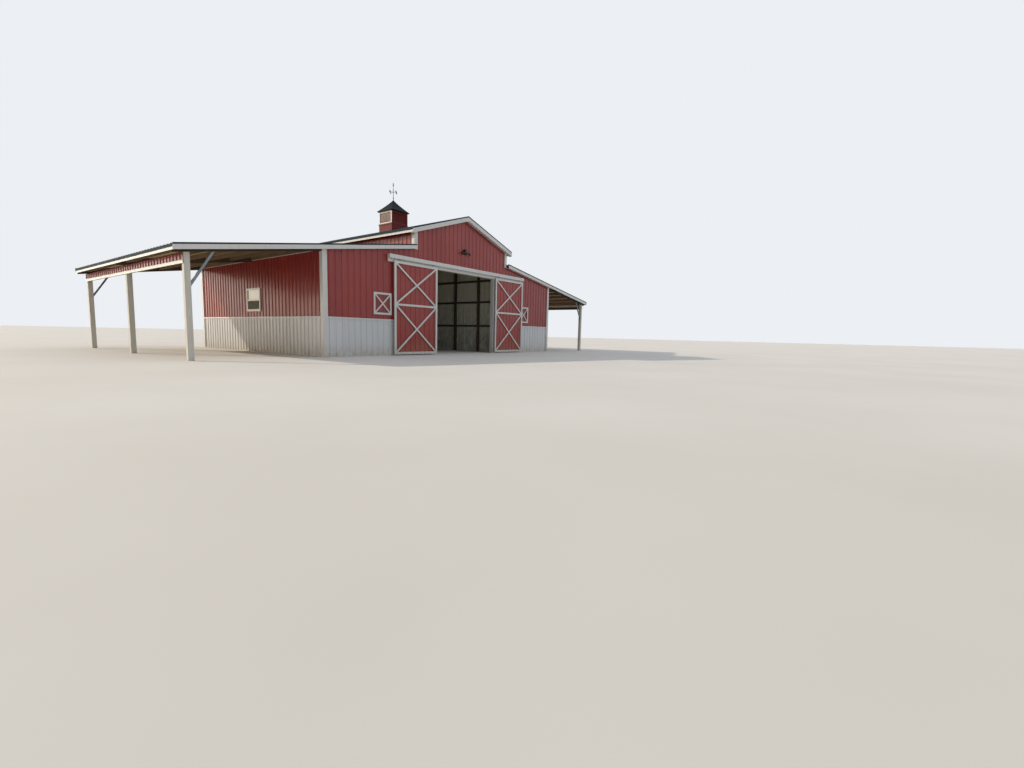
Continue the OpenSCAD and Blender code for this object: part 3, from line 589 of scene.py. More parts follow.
@dataclass(frozen=True)
class Sizes:
    """The barn's main sizes, in metres, read from the frame.

    half_c, half_s and half_p are from the middle to the outer faces of the centre aisle, the side aisles and
    the lean-to posts. half_e and half_h are to the low and the high eaves, half_l to the end walls and half_o
    to the roofs' ends. frame_y is to the inner faces of the end walls. jamb_x and head_z are half the width
    and the height of the doorway.
    """

    half_c: float
    half_s: float
    half_p: float
    half_e: float
    half_h: float
    half_l: float
    half_o: float
    frame_y: float
    jamb_x: float
    head_z: float
    wains_h: float
    low_top_z: float
    low_pitch: float
    ridge_z: float
    high_pitch: float
    roof_t: float = 0.024
    low_rake_h: float = 0.160
    high_rake_h: float = 0.194
    eave_h: float = 0.160
    fascia_t: float = 0.020
    sheet_t: float = 0.020

    @classmethod
    def from_frame(cls) -> "Sizes":
        """Reads the sizes from the boxes of the frame's nodes.

        Returns:
            The sizes.
        """
        roof_lo, roof_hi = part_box("right_low_roof")
        top_lo, top_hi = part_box("right_high_roof")
        wall_lo, wall_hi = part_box("front_wall_right")
        return cls(
            half_c=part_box("clerestory_walls")[1].x,
            half_s=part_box("right_side_wall")[1].x,
            half_p=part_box("lean_to_posts")[1].x,
            half_e=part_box("eave_trim")[1].x,
            half_h=top_hi.x + cls.fascia_t,
            half_l=-wall_lo.y,
            half_o=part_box("rake_trim")[1].y,
            frame_y=-wall_hi.y,
            jamb_x=wall_lo.x,
            head_z=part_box("front_gable_wall")[0].z,
            wains_h=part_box("wainscot")[1].z,
            low_top_z=roof_hi.z,
            low_pitch=(roof_hi.z - roof_lo.z - cls.roof_t) / (roof_hi.x - roof_lo.x),
            ridge_z=top_hi.z,
            high_pitch=(top_hi.z - top_lo.z - cls.roof_t) / (top_hi.x - top_lo.x),
        )

    def low_top(self, x: float) -> float:
        """Returns the height of the top of the low roofs at x from the middle."""
        return self.low_top_z - self.low_pitch * (abs(x) - self.half_c)

    def high_top(self, x: float) -> float:
        """Returns the height of the top of the raised roof at x from the middle."""
        return self.ridge_z - self.high_pitch * abs(x)

    def low_under(self, x: float) -> float:
        """Returns the height of the underside of the low roofs at x from the middle."""
        return self.low_top(x) - self.roof_t

    def high_under(self, x: float) -> float:
        """Returns the height of the underside of the raised roof at x from the middle."""
        return self.high_top(x) - self.roof_t


def open_tree(name: str, kinds: dict[str, str]) -> tuple[NodeTree, Node]:
    """Starts a Geometry Nodes tree with named inputs and one geometry output.

    Args:
        name: the tree's name.
        kinds: the socket type of each input, without its NodeSocket prefix, by name.

    Returns:
        The tree, and its group input node.
    """
    tree = bpy.data.node_groups.new(name, "GeometryNodeTree")
    for label, kind in kinds.items():
        tree.interface.new_socket(label, in_out="INPUT", socket_type="NodeSocket" + kind)
    tree.interface.new_socket("Geometry", in_out="OUTPUT", socket_type="NodeSocketGeometry")
    return tree, add(tree, "NodeGroupInput")


def close_tree(tree: NodeTree, shape: Node, paint: NodeSocket) -> NodeTree:
    """Ends a tree: makes its instances real, paints them and gives them out.

    Args:
        tree: the tree.
        shape: the node that gives the geometry.
        paint: its material.

    Returns:
        The tree.
    """
    whole = add(tree, "GeometryNodeRealizeInstances", {0: shape})
    painted = add(tree, "GeometryNodeSetMaterial", {"Geometry": whole, "Material": paint})
    add(tree, "NodeGroupOutput", {0: painted})
    return tree


def rib_press_tree() -> NodeTree:
    """Builds the tree that presses major and minor ribs into a flat sheet.

    Returns:
        The tree.
    """
    tree, source = open_tree("rib_press", {
        "Sheet": "Geometry", "Across": "Vector", "Out": "Vector", "Pitch": "Float", "Height": "Float",
        "Foot": "Float", "Crown": "Float", "Minor Height": "Float", "Minor Foot": "Float",
        "Minor Crown": "Float", "Paint": "Material",
    })
    given = source.outputs
    spot = add(tree, "GeometryNodeInputPosition")
    run = add(tree, "ShaderNodeVectorMath", {0: spot, 1: given["Across"]}, operation="DOT_PRODUCT")
    turns = add(tree, "ShaderNodeMath", {0: run.outputs["Value"], 1: given["Pitch"]}, operation="DIVIDE")
    share = add(tree, "ShaderNodeMath", {0: turns}, operation="FRACT")
    total = None
    for rib, centre in (("", 0.0), ("", 1.0), ("Minor ", 1 / 3), ("Minor ", 2 / 3)):
        off = add(tree, "ShaderNodeMath", {0: share, 1: centre}, operation="SUBTRACT")
        off = add(tree, "ShaderNodeMath", {0: off}, operation="ABSOLUTE")
        off = add(tree, "ShaderNodeMath", {0: off, 1: given["Pitch"]}, operation="MULTIPLY")
        near, far = (add(tree, "ShaderNodeMath", {0: given[rib + part], 1: 0.5}, operation="MULTIPLY")
                     for part in ("Crown", "Foot"))
        rise = add(tree, "ShaderNodeMapRange", {
            "Value": off, "From Min": near, "From Max": far, "To Min": given[rib + "Height"], "To Max": 0.0},
            clamp=True)
        total = rise if total is None else add(
            tree, "ShaderNodeMath", {0: total, 1: rise}, operation="MAXIMUM")
    push = add(tree, "ShaderNodeVectorMath", {0: given["Out"], "Scale": total}, operation="SCALE")
    pressed = add(tree, "GeometryNodeSetPosition", {"Geometry": given["Sheet"], "Offset": push})
    return close_tree(tree, pressed, given["Paint"])


def screw_tree() -> NodeTree:
    """Builds the tree that drives a hex-headed screw with its washer at each point.

    Returns:
        The tree.
    """
    tree, source = open_tree("sheet_screws", {
        "Spots": "Geometry", "Out": "Vector", "Head Radius": "Float", "Head Depth": "Float",
        "Washer Radius": "Float", "Washer Depth": "Float", "Seed": "Int", "Paint": "Material",
    })
    given = source.outputs
    screw = add(tree, "GeometryNodeJoinGeometry")
    for sides, part in ((6, "Head"), (8, "Washer")):
        disc = add(tree, "GeometryNodeMeshCylinder", {
            "Vertices": sides, "Radius": given[part + " Radius"], "Depth": given[part + " Depth"]})
        lift = add(tree, "ShaderNodeMath", {0: given[part + " Depth"], 1: 0.5}, operation="MULTIPLY")
        if part == "Head":
            lift = add(tree, "ShaderNodeMath", {0: lift, 1: given["Washer Depth"]})
        place = add(tree, "ShaderNodeCombineXYZ", {2: lift})
        solid = add(tree, "GeometryNodeTransform", {"Geometry": disc, "Translation": place})
        feed(tree, screw, {0: solid})
    spin = add(tree, "FunctionNodeRandomValue", {
        2: 0.0, 3: math.tau, "Seed": given["Seed"]}, data_type="FLOAT")
    about = add(tree, "ShaderNodeCombineXYZ", {2: spin.outputs[1]})
    turned = add(tree, "FunctionNodeRotateRotation", {
        "Rotation": add(tree, "FunctionNodeAlignRotationToVector", {"Vector": given["Out"]}, axis="Z"),
        "Rotate By": add(tree, "FunctionNodeEulerToRotation", {0: about}),
    }, rotation_space="LOCAL")
    driven = add(tree, "GeometryNodeInstanceOnPoints", {
        "Points": given["Spots"], "Instance": screw, "Rotation": turned})
    return close_tree(tree, driven, given["Paint"])


def slat_tree() -> NodeTree:
    """Builds the tree that stacks one slat at an even rise.

    Returns:
        The tree.
    """
    tree, source = open_tree("slat_stack", {
        "Slat": "Geometry", "Count": "Int", "Start": "Vector", "Rise": "Vector", "Paint": "Material",
    })
    given = source.outputs
    line = add(tree, "GeometryNodeMeshLine", {
        "Count": given["Count"], "Start Location": given["Start"], "Offset": given["Rise"]})
    stack = add(tree, "GeometryNodeInstanceOnPoints", {"Points": line, "Instance": given["Slat"]})
    return close_tree(tree, stack, given["Paint"])


def run_tree(mesh: Mesh, tree: NodeTree, values: dict[str, object], gauge: float = 0.0) -> Mesh:
    """Runs a tree on a mesh and gives the result back as a plain mesh.

    Args:
        mesh: what goes into the tree's first input. It is used up.
        tree: the tree.
        values: the other inputs, by name.
        gauge: thickness to give the result, inwards, or 0 for none.

    Returns:
        The new mesh.
    """
    holder = bpy.data.objects.new("holder", mesh)
    bpy.context.scene.collection.objects.link(holder)
    modifier = holder.modifiers.new("nodes", "NODES")
    modifier.node_group = tree
    for item in tree.interface.items_tree:
        if item.item_type == "SOCKET" and item.in_out == "INPUT" and item.name in values:
            modifier[item.identifier] = values[item.name]
    if gauge:
        shell = holder.modifiers.new("gauge", "SOLIDIFY")
        shell.thickness, shell.offset, shell.use_even_offset = gauge, -1.0, True
    seen = holder.evaluated_get(bpy.context.evaluated_depsgraph_get())
    made = bpy.data.meshes.new_from_object(seen)
    bpy.data.objects.remove(holder)
    bpy.data.meshes.remove(mesh)
    return made


class Trees:
    """The trees that the sub-assemblies share."""

    def __init__(self) -> None:
        """Builds each tree once."""
        self.ribs, self.screws, self.slats = rib_press_tree(), screw_tree(), slat_tree()


class Piece:
    """Gathers meshes in one or more finishes into a single object that rides on a body."""

    def __init__(self, name: str) -> None:
        """Starts an empty piece of that name."""
        self.name = name
        self.bm = bmesh.new()
        self.finishes: list[Finish] = []

    def index(self, finish: Finish) -> int:
        """Finds a finish among the piece's own, and adds it if it is new.

        Args:
            finish: the finish.

        Returns:
            Its number.
        """
        if finish not in self.finishes:
            self.finishes.append(finish)
        return self.finishes.index(finish)

    def take(self, mesh: Mesh, finish: Finish, back: Finish | None = None, fronts: int = 0) -> None:
        """Adds a mesh, and uses it up.

        Args:
            mesh: the mesh.
            finish: its finish.
            back: the finish of the inner face of a sheet, if it differs.
            fronts: how many faces the sheet had before its thickness; as many inner ones come after them.
        """
        front = self.index(finish)
        for polygon in mesh.polygons:
            polygon.material_index = front
            if back and fronts <= polygon.index < 2 * fronts:
                polygon.material_index = self.index(back)
        self.bm.from_mesh(mesh)
        bpy.data.meshes.remove(mesh)

    def draw(self, line: Line, stations: Sequence[float], place: Place, finish: Finish,
             gauge: float = 0.0) -> None:
        """Adds an outline drawn out through stations, or a folded strip where a gauge is given.

        Args:
            line: the closed outline, or the bends of the strip from one hem to the other.
            stations: how far along each ring of it lies.
            place: gives the point in space of an outline point at a station.
            finish: its finish.
            gauge: the strip's thickness, laid on the left of the line, or 0 for a closed outline.
        """
        self.take(run_outline(folded(line, gauge) if gauge else line, stations, place), finish)

    def done(self, body: str, *nodes: str, smooth: float = 0.0) -> None:
        """Makes the object, sets it on its body, and hides the CAD nodes that it stands for.

        Args:
            body: the body that it rides on.
            *nodes: the CAD nodes that it replaces.
            smooth: angle in degrees under which edges are shaded smooth, or 0 for flat shading.
        """
        mesh = bpy.data.meshes.new(self.name)
        self.bm.to_mesh(mesh)
        self.bm.free()
        for finish in self.finishes:
            mesh.materials.append(finish.material())
        if smooth:
            mesh.polygons.foreach_set("use_smooth", [True] * len(mesh.polygons))
            mesh.set_sharp_from_angle(angle=math.radians(smooth))
        piece = bpy.data.objects.new(self.name, mesh)
        bpy.context.scene.collection.objects.link(piece)
        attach(piece, body)
        if nodes:
            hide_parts(*nodes)
        log.info("%s: %d faces, on %s, for %s", self.name, len(mesh.polygons), body,
                 ", ".join(nodes) or "itself")


def mesh_of(points: Iterable[Sequence[float]], faces: Iterable[Sequence[int]], name: str = "shape") -> Mesh:
    """Makes a mesh.

    Args:
        points: the corners.
        faces: the corners of each face, by number.
        name: the mesh's name.

    Returns:
        The mesh.
    """
    mesh = bpy.data.meshes.new(name)
    mesh.from_pydata([tuple(p) for p in points], [], [tuple(f) for f in faces])
    return mesh


def outwards(mesh: Mesh) -> Mesh:
    """Turns the faces of a closed mesh outwards.

    Args:
        mesh: the mesh.

    Returns:
        The same mesh.
    """
    bm = bmesh.new()
    bm.from_mesh(mesh)
    bmesh.ops.recalc_face_normals(bm, faces=bm.faces)
    bm.to_mesh(mesh)
    bm.free()
    return mesh


def oblong(a_low: float, a_high: float, b_low: float, b_high: float) -> Line:
    """Returns the outline of an oblong between two pairs of places."""
    return (a_low, b_low), (a_high, b_low), (a_high, b_high), (a_low, b_high)


def folded(line: Line, gauge: float) -> Line:
    """Gives a bent line of sheet metal its thickness.

    Args:
        line: the points of the bend, from one hem to the other.
        gauge: the thickness, laid on the left of the line.

    Returns:
        The closed outline.
    """
    points = [Vector(p) for p in line]
    offset = []
    for i, point in enumerate(points):
        near = points[max(i - 1, 0):i + 2]
        runs = [(b - a).normalized() for a, b in zip(near, near[1:])]
        sides = [Vector((-run.y, run.x)) for run in runs]
        normal = sum(sides, Vector((0.0, 0.0))).normalized()
        offset.append(point + normal * gauge / max(normal.dot(sides[0]), LEAST_MITRE))
    return [tuple(p) for p in points] + [tuple(p) for p in reversed(offset)]


def run_outline(outline: Line, stations: Sequence[float], place: Place) -> Mesh:
    """Draws an outline out through the stations, closed at both ends.

    Args:
        outline: the closed outline.
        stations: how far along each ring of it lies.
        place: gives the point in space of an outline point at a station.

    Returns:
        The mesh, with its faces outwards.
    """
    count = len(outline)
    points = [place(a, b, s) for s in stations for a, b in outline]
    faces = [tuple(range(count)), tuple(range(len(points) - 1, len(points) - 1 - count, -1))]
    for ring in range(0, len(points) - count, count):
        for i in range(count):
            j = (i + 1) % count
            faces.append((ring + i, ring + count + i, ring + count + j, ring + j))
    return outwards(mesh_of(points, faces))


@dataclass(frozen=True)
class Ribs:
    """The rolled section of the sheets, in metres: a tall rib every 9 inches, with two low ones between."""

    pitch: float = 0.2286
    height: float = 0.019
    foot: float = 0.062
    crown: float = 0.022
    minor_height: float = 0.003
    minor_foot: float = 0.030
    minor_crown: float = 0.014

    def marks(self, start: float, end: float) -> list[float]:
        """Finds the bends of the section.

        Args:
            start: where the sheet starts.
            end: where it ends.

        Returns:
            The places between them where it bends.
        """
        bends = [side * width / 2 for width in (self.foot, self.crown) for side in (-1, 1)]
        bends += [self.pitch * share + side * width / 2 for share in (1 / 3, 2 / 3)
                  for width in (self.minor_foot, self.minor_crown) for side in (-1, 1)]
        first, last = math.floor(start / self.pitch) - 1, math.ceil(end / self.pitch) + 1
        found = (k * self.pitch + bend for k in range(first, last + 1) for bend in bends)
        return [mark for mark in found if start < mark < end]

    def centres(self, start: float, end: float) -> list[float]:
        """Returns the places of the tall ribs between start and end."""
        first, last = math.ceil(start / self.pitch), math.floor(end / self.pitch)
        return [k * self.pitch for k in range(first, last + 1)]

    def inputs(self) -> dict[str, float]:
        """Returns the section as the rib tree's inputs."""
        return {name.replace("_", " ").title(): value for name, value in vars(self).items()}


@dataclass(frozen=True)
class Screws:
    """Hex-headed screws with washers, beside each tall rib.

    rows is how far along the ribs each row lies. margin and side_margin keep screws off the sheet's edges.
    """

    rows: tuple[float, ...]
    seed: int
    finish: Finish = RED
    head_radius: float = 0.0046
    head_depth: float = 0.0045
    washer_radius: float = 0.0080
    washer_depth: float = 0.0015
    off_rib: float = 0.010
    margin: float = 0.03
    side_margin: float = 0.02

    def inputs(self) -> dict[str, object]:
        """Returns the screws' sizes as the screw tree's inputs."""
        return {"Head Radius": self.head_radius, "Head Depth": self.head_depth, "Seed": self.seed,
                "Washer Radius": self.washer_radius, "Washer Depth": self.washer_depth,
                "Paint": self.finish.material()}


END_SCREWS = Screws((1.16, 1.30, 2.34, 3.20), 11)
GABLE_SCREWS = Screws((1.30, 2.34, 3.40, 4.20, 4.70), 12)
SIDE_SCREWS = Screws((1.30, 2.34, 3.20), 13)
RAISED_SCREWS = Screws((4.12, 4.50), 14)
AISLE_SCREWS = Screws((1.17, 1.26, 2.34, 3.33), 15, BACKING)
WAINSCOT_SCREWS = Screws((0.12, 0.62, 1.13), 16, WHITE_SHEET)
ROOF_SEED, SKIRT_SEED = 21, 22


def level(line: Line, at: float) -> float:
    """Reads the height of a line at a place.

    Args:
        line: (place, height) points.
        at: the place.

    Returns:
        The height, which past an end is that of the end.
    """
    for (a, low), (b, high) in zip(line, line[1:]):
        if a - HAIR <= at <= b + HAIR:
            return low + (high - low) * (at - a) / (b - a)
    return line[0][1] if at < line[0][0] else line[-1][1]


def within(hole: Hole, u: float, v: float, margin: float = 0.0) -> bool:
    """Tells whether a place across and along a sheet is in a hole, or nearer to it than a margin."""
    return hole[0] - margin < u < hole[1] + margin and hole[2] - margin < v < hole[3] + margin


@dataclass
class Sheeting:
    """One flat field of ribbed sheet, drawn across and along its ribs.

    across, along and out are its directions in space, and base is the place of its pans where across and
    along are 0. low and high are the lines where the ribs start and end.
    """

    across: Vector
    along: Vector
    out: Vector
    base: Vector
    low: Line
    high: Line
    holes: Sequence[Hole] = ()
    face: Finish = RED
    back: Finish | None = BACKING
    gauge: float = 0.001
    ribs: Ribs = Ribs()

    def columns(self) -> list[float]:
        """Returns the places across where the sheet bends, starts, ends or meets a hole."""
        start, end = self.low[0][0], self.low[-1][0]
        marks = {start, end, *self.ribs.marks(start, end)}
        marks |= {u for u, _ in (*self.low, *self.high)} | {edge for hole in self.holes for edge in hole[:2]}
        kept: list[float] = []
        for mark in sorted(marks):
            if not kept or mark - kept[-1] > LEAST_COLUMN:
                kept.append(mark)
        return kept

    def spot(self, u: float, v: float) -> Vector:
        """Returns the point in space at a place across and along."""
        return self.base + self.across * u + self.along * v

    def flat(self) -> Mesh:
        """Draws the sheet before its ribs are pressed, in columns of faces with the holes left out.

        Returns:
            The mesh.
        """
        rows = sorted({v for hole in self.holes for v in hole[2:]})
        numbers: dict[Point, int] = {}
        points: list[Vector] = []
        faces: list[list[int]] = []
        turned = self.across.cross(self.along).dot(self.out) < 0
        marks = self.columns()
        for ua, ub in zip(marks, marks[1:]):
            cuts = []
            for u in (ua, ub):
                low, high = level(self.low, u), level(self.high, u)
                cuts.append([low] + [min(max(row, low), high) for row in rows] + [high])
            for k in range(len(rows) + 1):
                mid = ((ua + ub) / 2, (cuts[0][k] + cuts[0][k + 1]) / 2)
                if any(within(hole, *mid) for hole in self.holes):
                    continue
                corners: list[int] = []
                for u, v in ((ua, cuts[0][k]), (ub, cuts[1][k]), (ub, cuts[1][k + 1]), (ua, cuts[0][k + 1])):
                    key = (round(u, 5), round(v, 5))
                    if key not in numbers:
                        numbers[key] = len(points)
                        points.append(self.spot(u, v))
                    if numbers[key] not in corners:
                        corners.append(numbers[key])
                if len(corners) > 2:
                    faces.append(corners[::-1] if turned else corners)
        return mesh_of(points, faces)

    def press(self, trees: Trees, piece: Piece) -> None:
        """Presses the ribs, gives the sheet its gauge and adds it to a piece.

        Args:
            trees: the shared trees.
            piece: the piece.
        """
        flat = self.flat()
        fronts = len(flat.polygons)
        values = {"Across": tuple(self.across), "Out": tuple(self.out), "Paint": self.face.material(),
                  **self.ribs.inputs()}
        piece.take(run_tree(flat, trees.ribs, values, self.gauge), self.face, self.back, fronts)

    def screw(self, trees: Trees, piece: Piece, screws: Screws) -> None:
        """Drives screws beside each tall rib, clear of edges and holes.

        Args:
            trees: the shared trees.
            piece: the piece that gets them.
            screws: the screws.
        """
        spots = []
        for centre in self.ribs.centres(self.low[0][0], self.low[-1][0]):
            u = centre + (self.ribs.foot / 2 + screws.off_rib)
            for v in screws.rows:
                clear = level(self.low, u) + screws.margin < v < level(self.high, u) - screws.margin
                held = any(within(hole, u, v, screws.margin) for hole in self.holes)
                if u < self.low[-1][0] - screws.side_margin and clear and not held:
                    spots.append(self.spot(u, v))
        if spots:
            values = {"Out": tuple(self.out), **screws.inputs()}
            piece.take(run_tree(mesh_of(spots, []), trees.screws, values), screws.finish)


def put_up(trees: Trees, node: str, name: str, fields: Iterable[Sheeting], screws: Screws | None = None,
           body: str = BODY) -> None:
    """Presses and screws fields of sheet into one piece.

    Args:
        trees: the shared trees.
        node: the CAD node that the piece replaces.
        name: the piece's name.
        fields: the fields of sheet.
        screws: their screws, if they have any.
        body: the body that the piece rides on.
    """
    piece = Piece(name)
    for field in fields:
        field.press(trees, piece)
        if screws:
            field.screw(trees, piece, screws)
    piece.done(body, node)


def islands(bm: bmesh.types.BMesh) -> list[list[bmesh.types.BMFace]]:
    """Parts the faces of a mesh by solid.

    Args:
        bm: the mesh.

    Returns:
        The faces of each separate solid.
    """
    left = set(bm.faces)
    groups = []
    for face in bm.faces:
        if face not in left:
            continue
        group, queue = [], [face]
        left.discard(face)
        while queue:
            here = queue.pop()
            group.append(here)
            for edge in here.edges:
                for near in edge.link_faces:
                    if near in left:
                        left.discard(near)
                        queue.append(near)
        groups.append(group)
    return groups


def dress_copy(node: str, finish: Finish, bevel: float = 0.003, segments: int = 1, smooth: float = 0.0,
               body: str = BODY) -> None:
    """Copies a CAD node, eases its edges and lays grain along each of its solids.

    Args:
        node: the node, which the copy stands for.
        finish: its finish.
        bevel: width of the eased edges, in metres.
        segments: faces across an eased edge.
        smooth: angle in degrees under which edges are shaded smooth, or 0.
        body: the body that it rides on.
    """
    bm = bmesh.new()
    bm.from_mesh(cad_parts[node].data)
    bmesh.ops.remove_doubles(bm, verts=bm.verts, dist=SAME_SPOT)
    bmesh.ops.dissolve_limit(bm, angle_limit=IN_PLANE, verts=bm.verts, edges=bm.edges)
    sharp = [edge for edge in bm.edges if edge.is_manifold and edge.calc_face_angle(0.0) > SHARP_EDGE]
    if bevel:
        bmesh.ops.bevel(bm, geom=sharp, offset=bevel, segments=segments, affect="EDGES", clamp_overlap=True)
    uv = bm.loops.layers.uv.new(GRAIN_MAP)
    board = bm.faces.layers.float.new(BOARD_TONE)
    # Each solid starts at its own place in the grain, and its ends show the grain drawn short.
    for number, group in enumerate(islands(bm)):
        longest = max((edge for face in group for edge in face.edges), key=lambda e: e.calc_length())
        grain = (longest.verts[1].co - longest.verts[0].co).normalized()
        tone = (number * GOLDEN + 0.13) % 1.0
        for face in group:
            face[board] = tone
            side = face.normal.cross(grain)
            side = side.normalized() if side.length > 0.3 else face.normal.orthogonal().normalized()
            lengthways = grain if abs(face.normal.dot(grain)) < 0.7 else face.normal.cross(side) * 0.2
            for loop in face.loops:
                loop[uv].uv = (loop.vert.co.dot(lengthways) + number, loop.vert.co.dot(side) + number * 0.37)
    piece = Piece(node + "_dressed")
    piece.index(finish)
    piece.bm.free()
    piece.bm = bm
    piece.done(body, node, smooth=smooth)


@dataclass
class Walls:
    """Red sheets above the wainscot on all four sides, the raised walls, and the walls inside."""

    sizes: Sizes
    trees: Trees

    def end_field(self, end: End, places: Sequence[float], low: float, top: Callable[[float], float],
                  holes: Sequence[Hole] = (), face: Finish = RED) -> Sheeting:
        """Draws a field of an end wall, in x and z.

        Args:
            end: the end of the barn.
            places: where its top bends, from left to right.
            low: the height of its foot.
            top: gives the height of its top at x.
            holes: its holes.
            face: its outer finish.

        Returns:
            The field.
        """
        way = Y * end.value
        return Sheeting(X, Z, way, way * (self.sizes.half_l - Ribs.height), [(x, low) for x in places],
                        [(x, top(x)) for x in places], holes, face)

    def side_field(self, side: Side, x: float, low: float, high: float, **looks) -> Sheeting:
        """Draws a level field of a wall along the barn, in y and z.

        Args:
            side: the side of the barn.
            x: how far its outer face is from the middle.
            low: the height of its foot.
            high: the height of its top.
            **looks: its holes and finishes, where they aren't a plain red wall's.

        Returns:
            The field.
        """
        way, ends = X * side.value, (-self.sizes.frame_y, self.sizes.frame_y)
        return Sheeting(Y, Z, way, way * (x - Ribs.height), [(y, low) for y in ends],
                        [(y, high) for y in ends], **looks)

    def shutter_hole(self, side: Side) -> Hole:
        """Returns the hole behind a shutter on that side."""
        lo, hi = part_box("shutter_panels")
        inner, outer = sorted((side.value * (hi.x - (hi.z - lo.z)), side.value * hi.x))
        return inner, outer, lo.z, hi.z

    def end_wall(self, end: End, side: Side) -> None:
        """Builds the sheets of one half of an end wall, beside the doorway at the front.

        Args:
            end: the end of the barn.
            side: the half.
        """
        s = self.sizes
        spans = [(s.half_c, s.half_s, s.low_under, [self.shutter_hole(side)])]
        if end is End.FRONT:
            spans.append((s.jamb_x, s.half_c, lambda x: s.head_z, ()))
        fields = [self.end_field(end, sorted((side.value * start, side.value * stop)), s.wains_h, top, holes)
                  for start, stop, top, holes in spans]
        node = f"{end.name}_wall_{side.name}".lower()
        put_up(self.trees, node, node + "_sheets", fields, END_SCREWS)

    def gable(self, end: End) -> None:
        """Builds the sheets of an end wall under the raised roof.

        Args:
            end: the end of the barn.
        """
        s, name = self.sizes, end.name.lower() + "_gable_"
        foot = s.head_z if end is End.FRONT else s.wains_h
        field = self.end_field(end, (-s.half_c, 0.0, s.half_c), foot, s.high_under)
        put_up(self.trees, name + "wall", name + "sheets", [field], GABLE_SCREWS)

    def side_wall(self, side: Side) -> None:
        """Builds the sheets of an outer side wall, with its window's hole.

        Args:
            side: the side of the barn.
        """
        s, node = self.sizes, side.name.lower() + "_side_wall"
        lo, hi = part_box("window_frames")
        hole = (lo.y, hi.y, lo.z, hi.z)
        field = self.side_field(side, s.half_s, s.wains_h, s.low_under(s.half_s), holes=[hole])
        put_up(self.trees, node, node + "_sheets", [field], SIDE_SCREWS)

    def inner_walls(self) -> None:
        """Builds the sheets over the low roofs, and the bare-backed ones that part the aisles below them."""
        s = self.sizes
        low, high = s.low_under(s.half_c), s.high_under(s.half_c)
        raised = [self.side_field(side, s.half_c, low, high) for side in Side]
        put_up(self.trees, "clerestory_walls", "clerestory_sheets", raised, RAISED_SCREWS)
        parting = [self.side_field(side, s.half_c, 0.0, low, face=BACKING, back=None) for side in Side]
        put_up(self.trees, "aisle_walls", "aisle_wall_sheets", parting, AISLE_SCREWS)

    def wainscot(self) -> None:
        """Builds the white sheets round the foot of the outer walls."""
        s = self.sizes
        fields = []
        for side in Side:
            ends = sorted((side.value * s.jamb_x, side.value * s.half_s))
            fields.append(self.end_field(End.FRONT, ends, 0.0, lambda x: s.wains_h, face=WHITE_SHEET))
            fields.append(self.side_field(side, s.half_s, 0.0, s.wains_h, face=WHITE_SHEET))
        ends = (-s.half_s, s.half_s)
        fields.append(self.end_field(End.REAR, ends, 0.0, lambda x: s.wains_h, face=WHITE_SHEET))
        put_up(self.trees, "wainscot", "wainscot_sheets", fields, WAINSCOT_SCREWS)

    def shutters(self) -> None:
        """Builds the red sheets behind the shutters' crossed bars, and their white frames."""
        fields = []
        for end in End:
            for side in Side:
                inner, outer, low, high = self.shutter_hole(side)
                fields.append(self.end_field(end, (inner, outer), low, lambda x: high, face=SHUTTER_RED))
        put_up(self.trees, "shutter_panels", "shutter_sheets", fields)
        dress_copy("shutter_frames", TRIM, 0.002)

    def build(self) -> None:
        """Builds every wall."""
        for end in End:
            for side in Side:
                self.end_wall(end, side)
            self.gable(end)
        for side in Side:
            self.side_wall(side)
        self.inner_walls()
        self.wainscot()
        self.shutters()


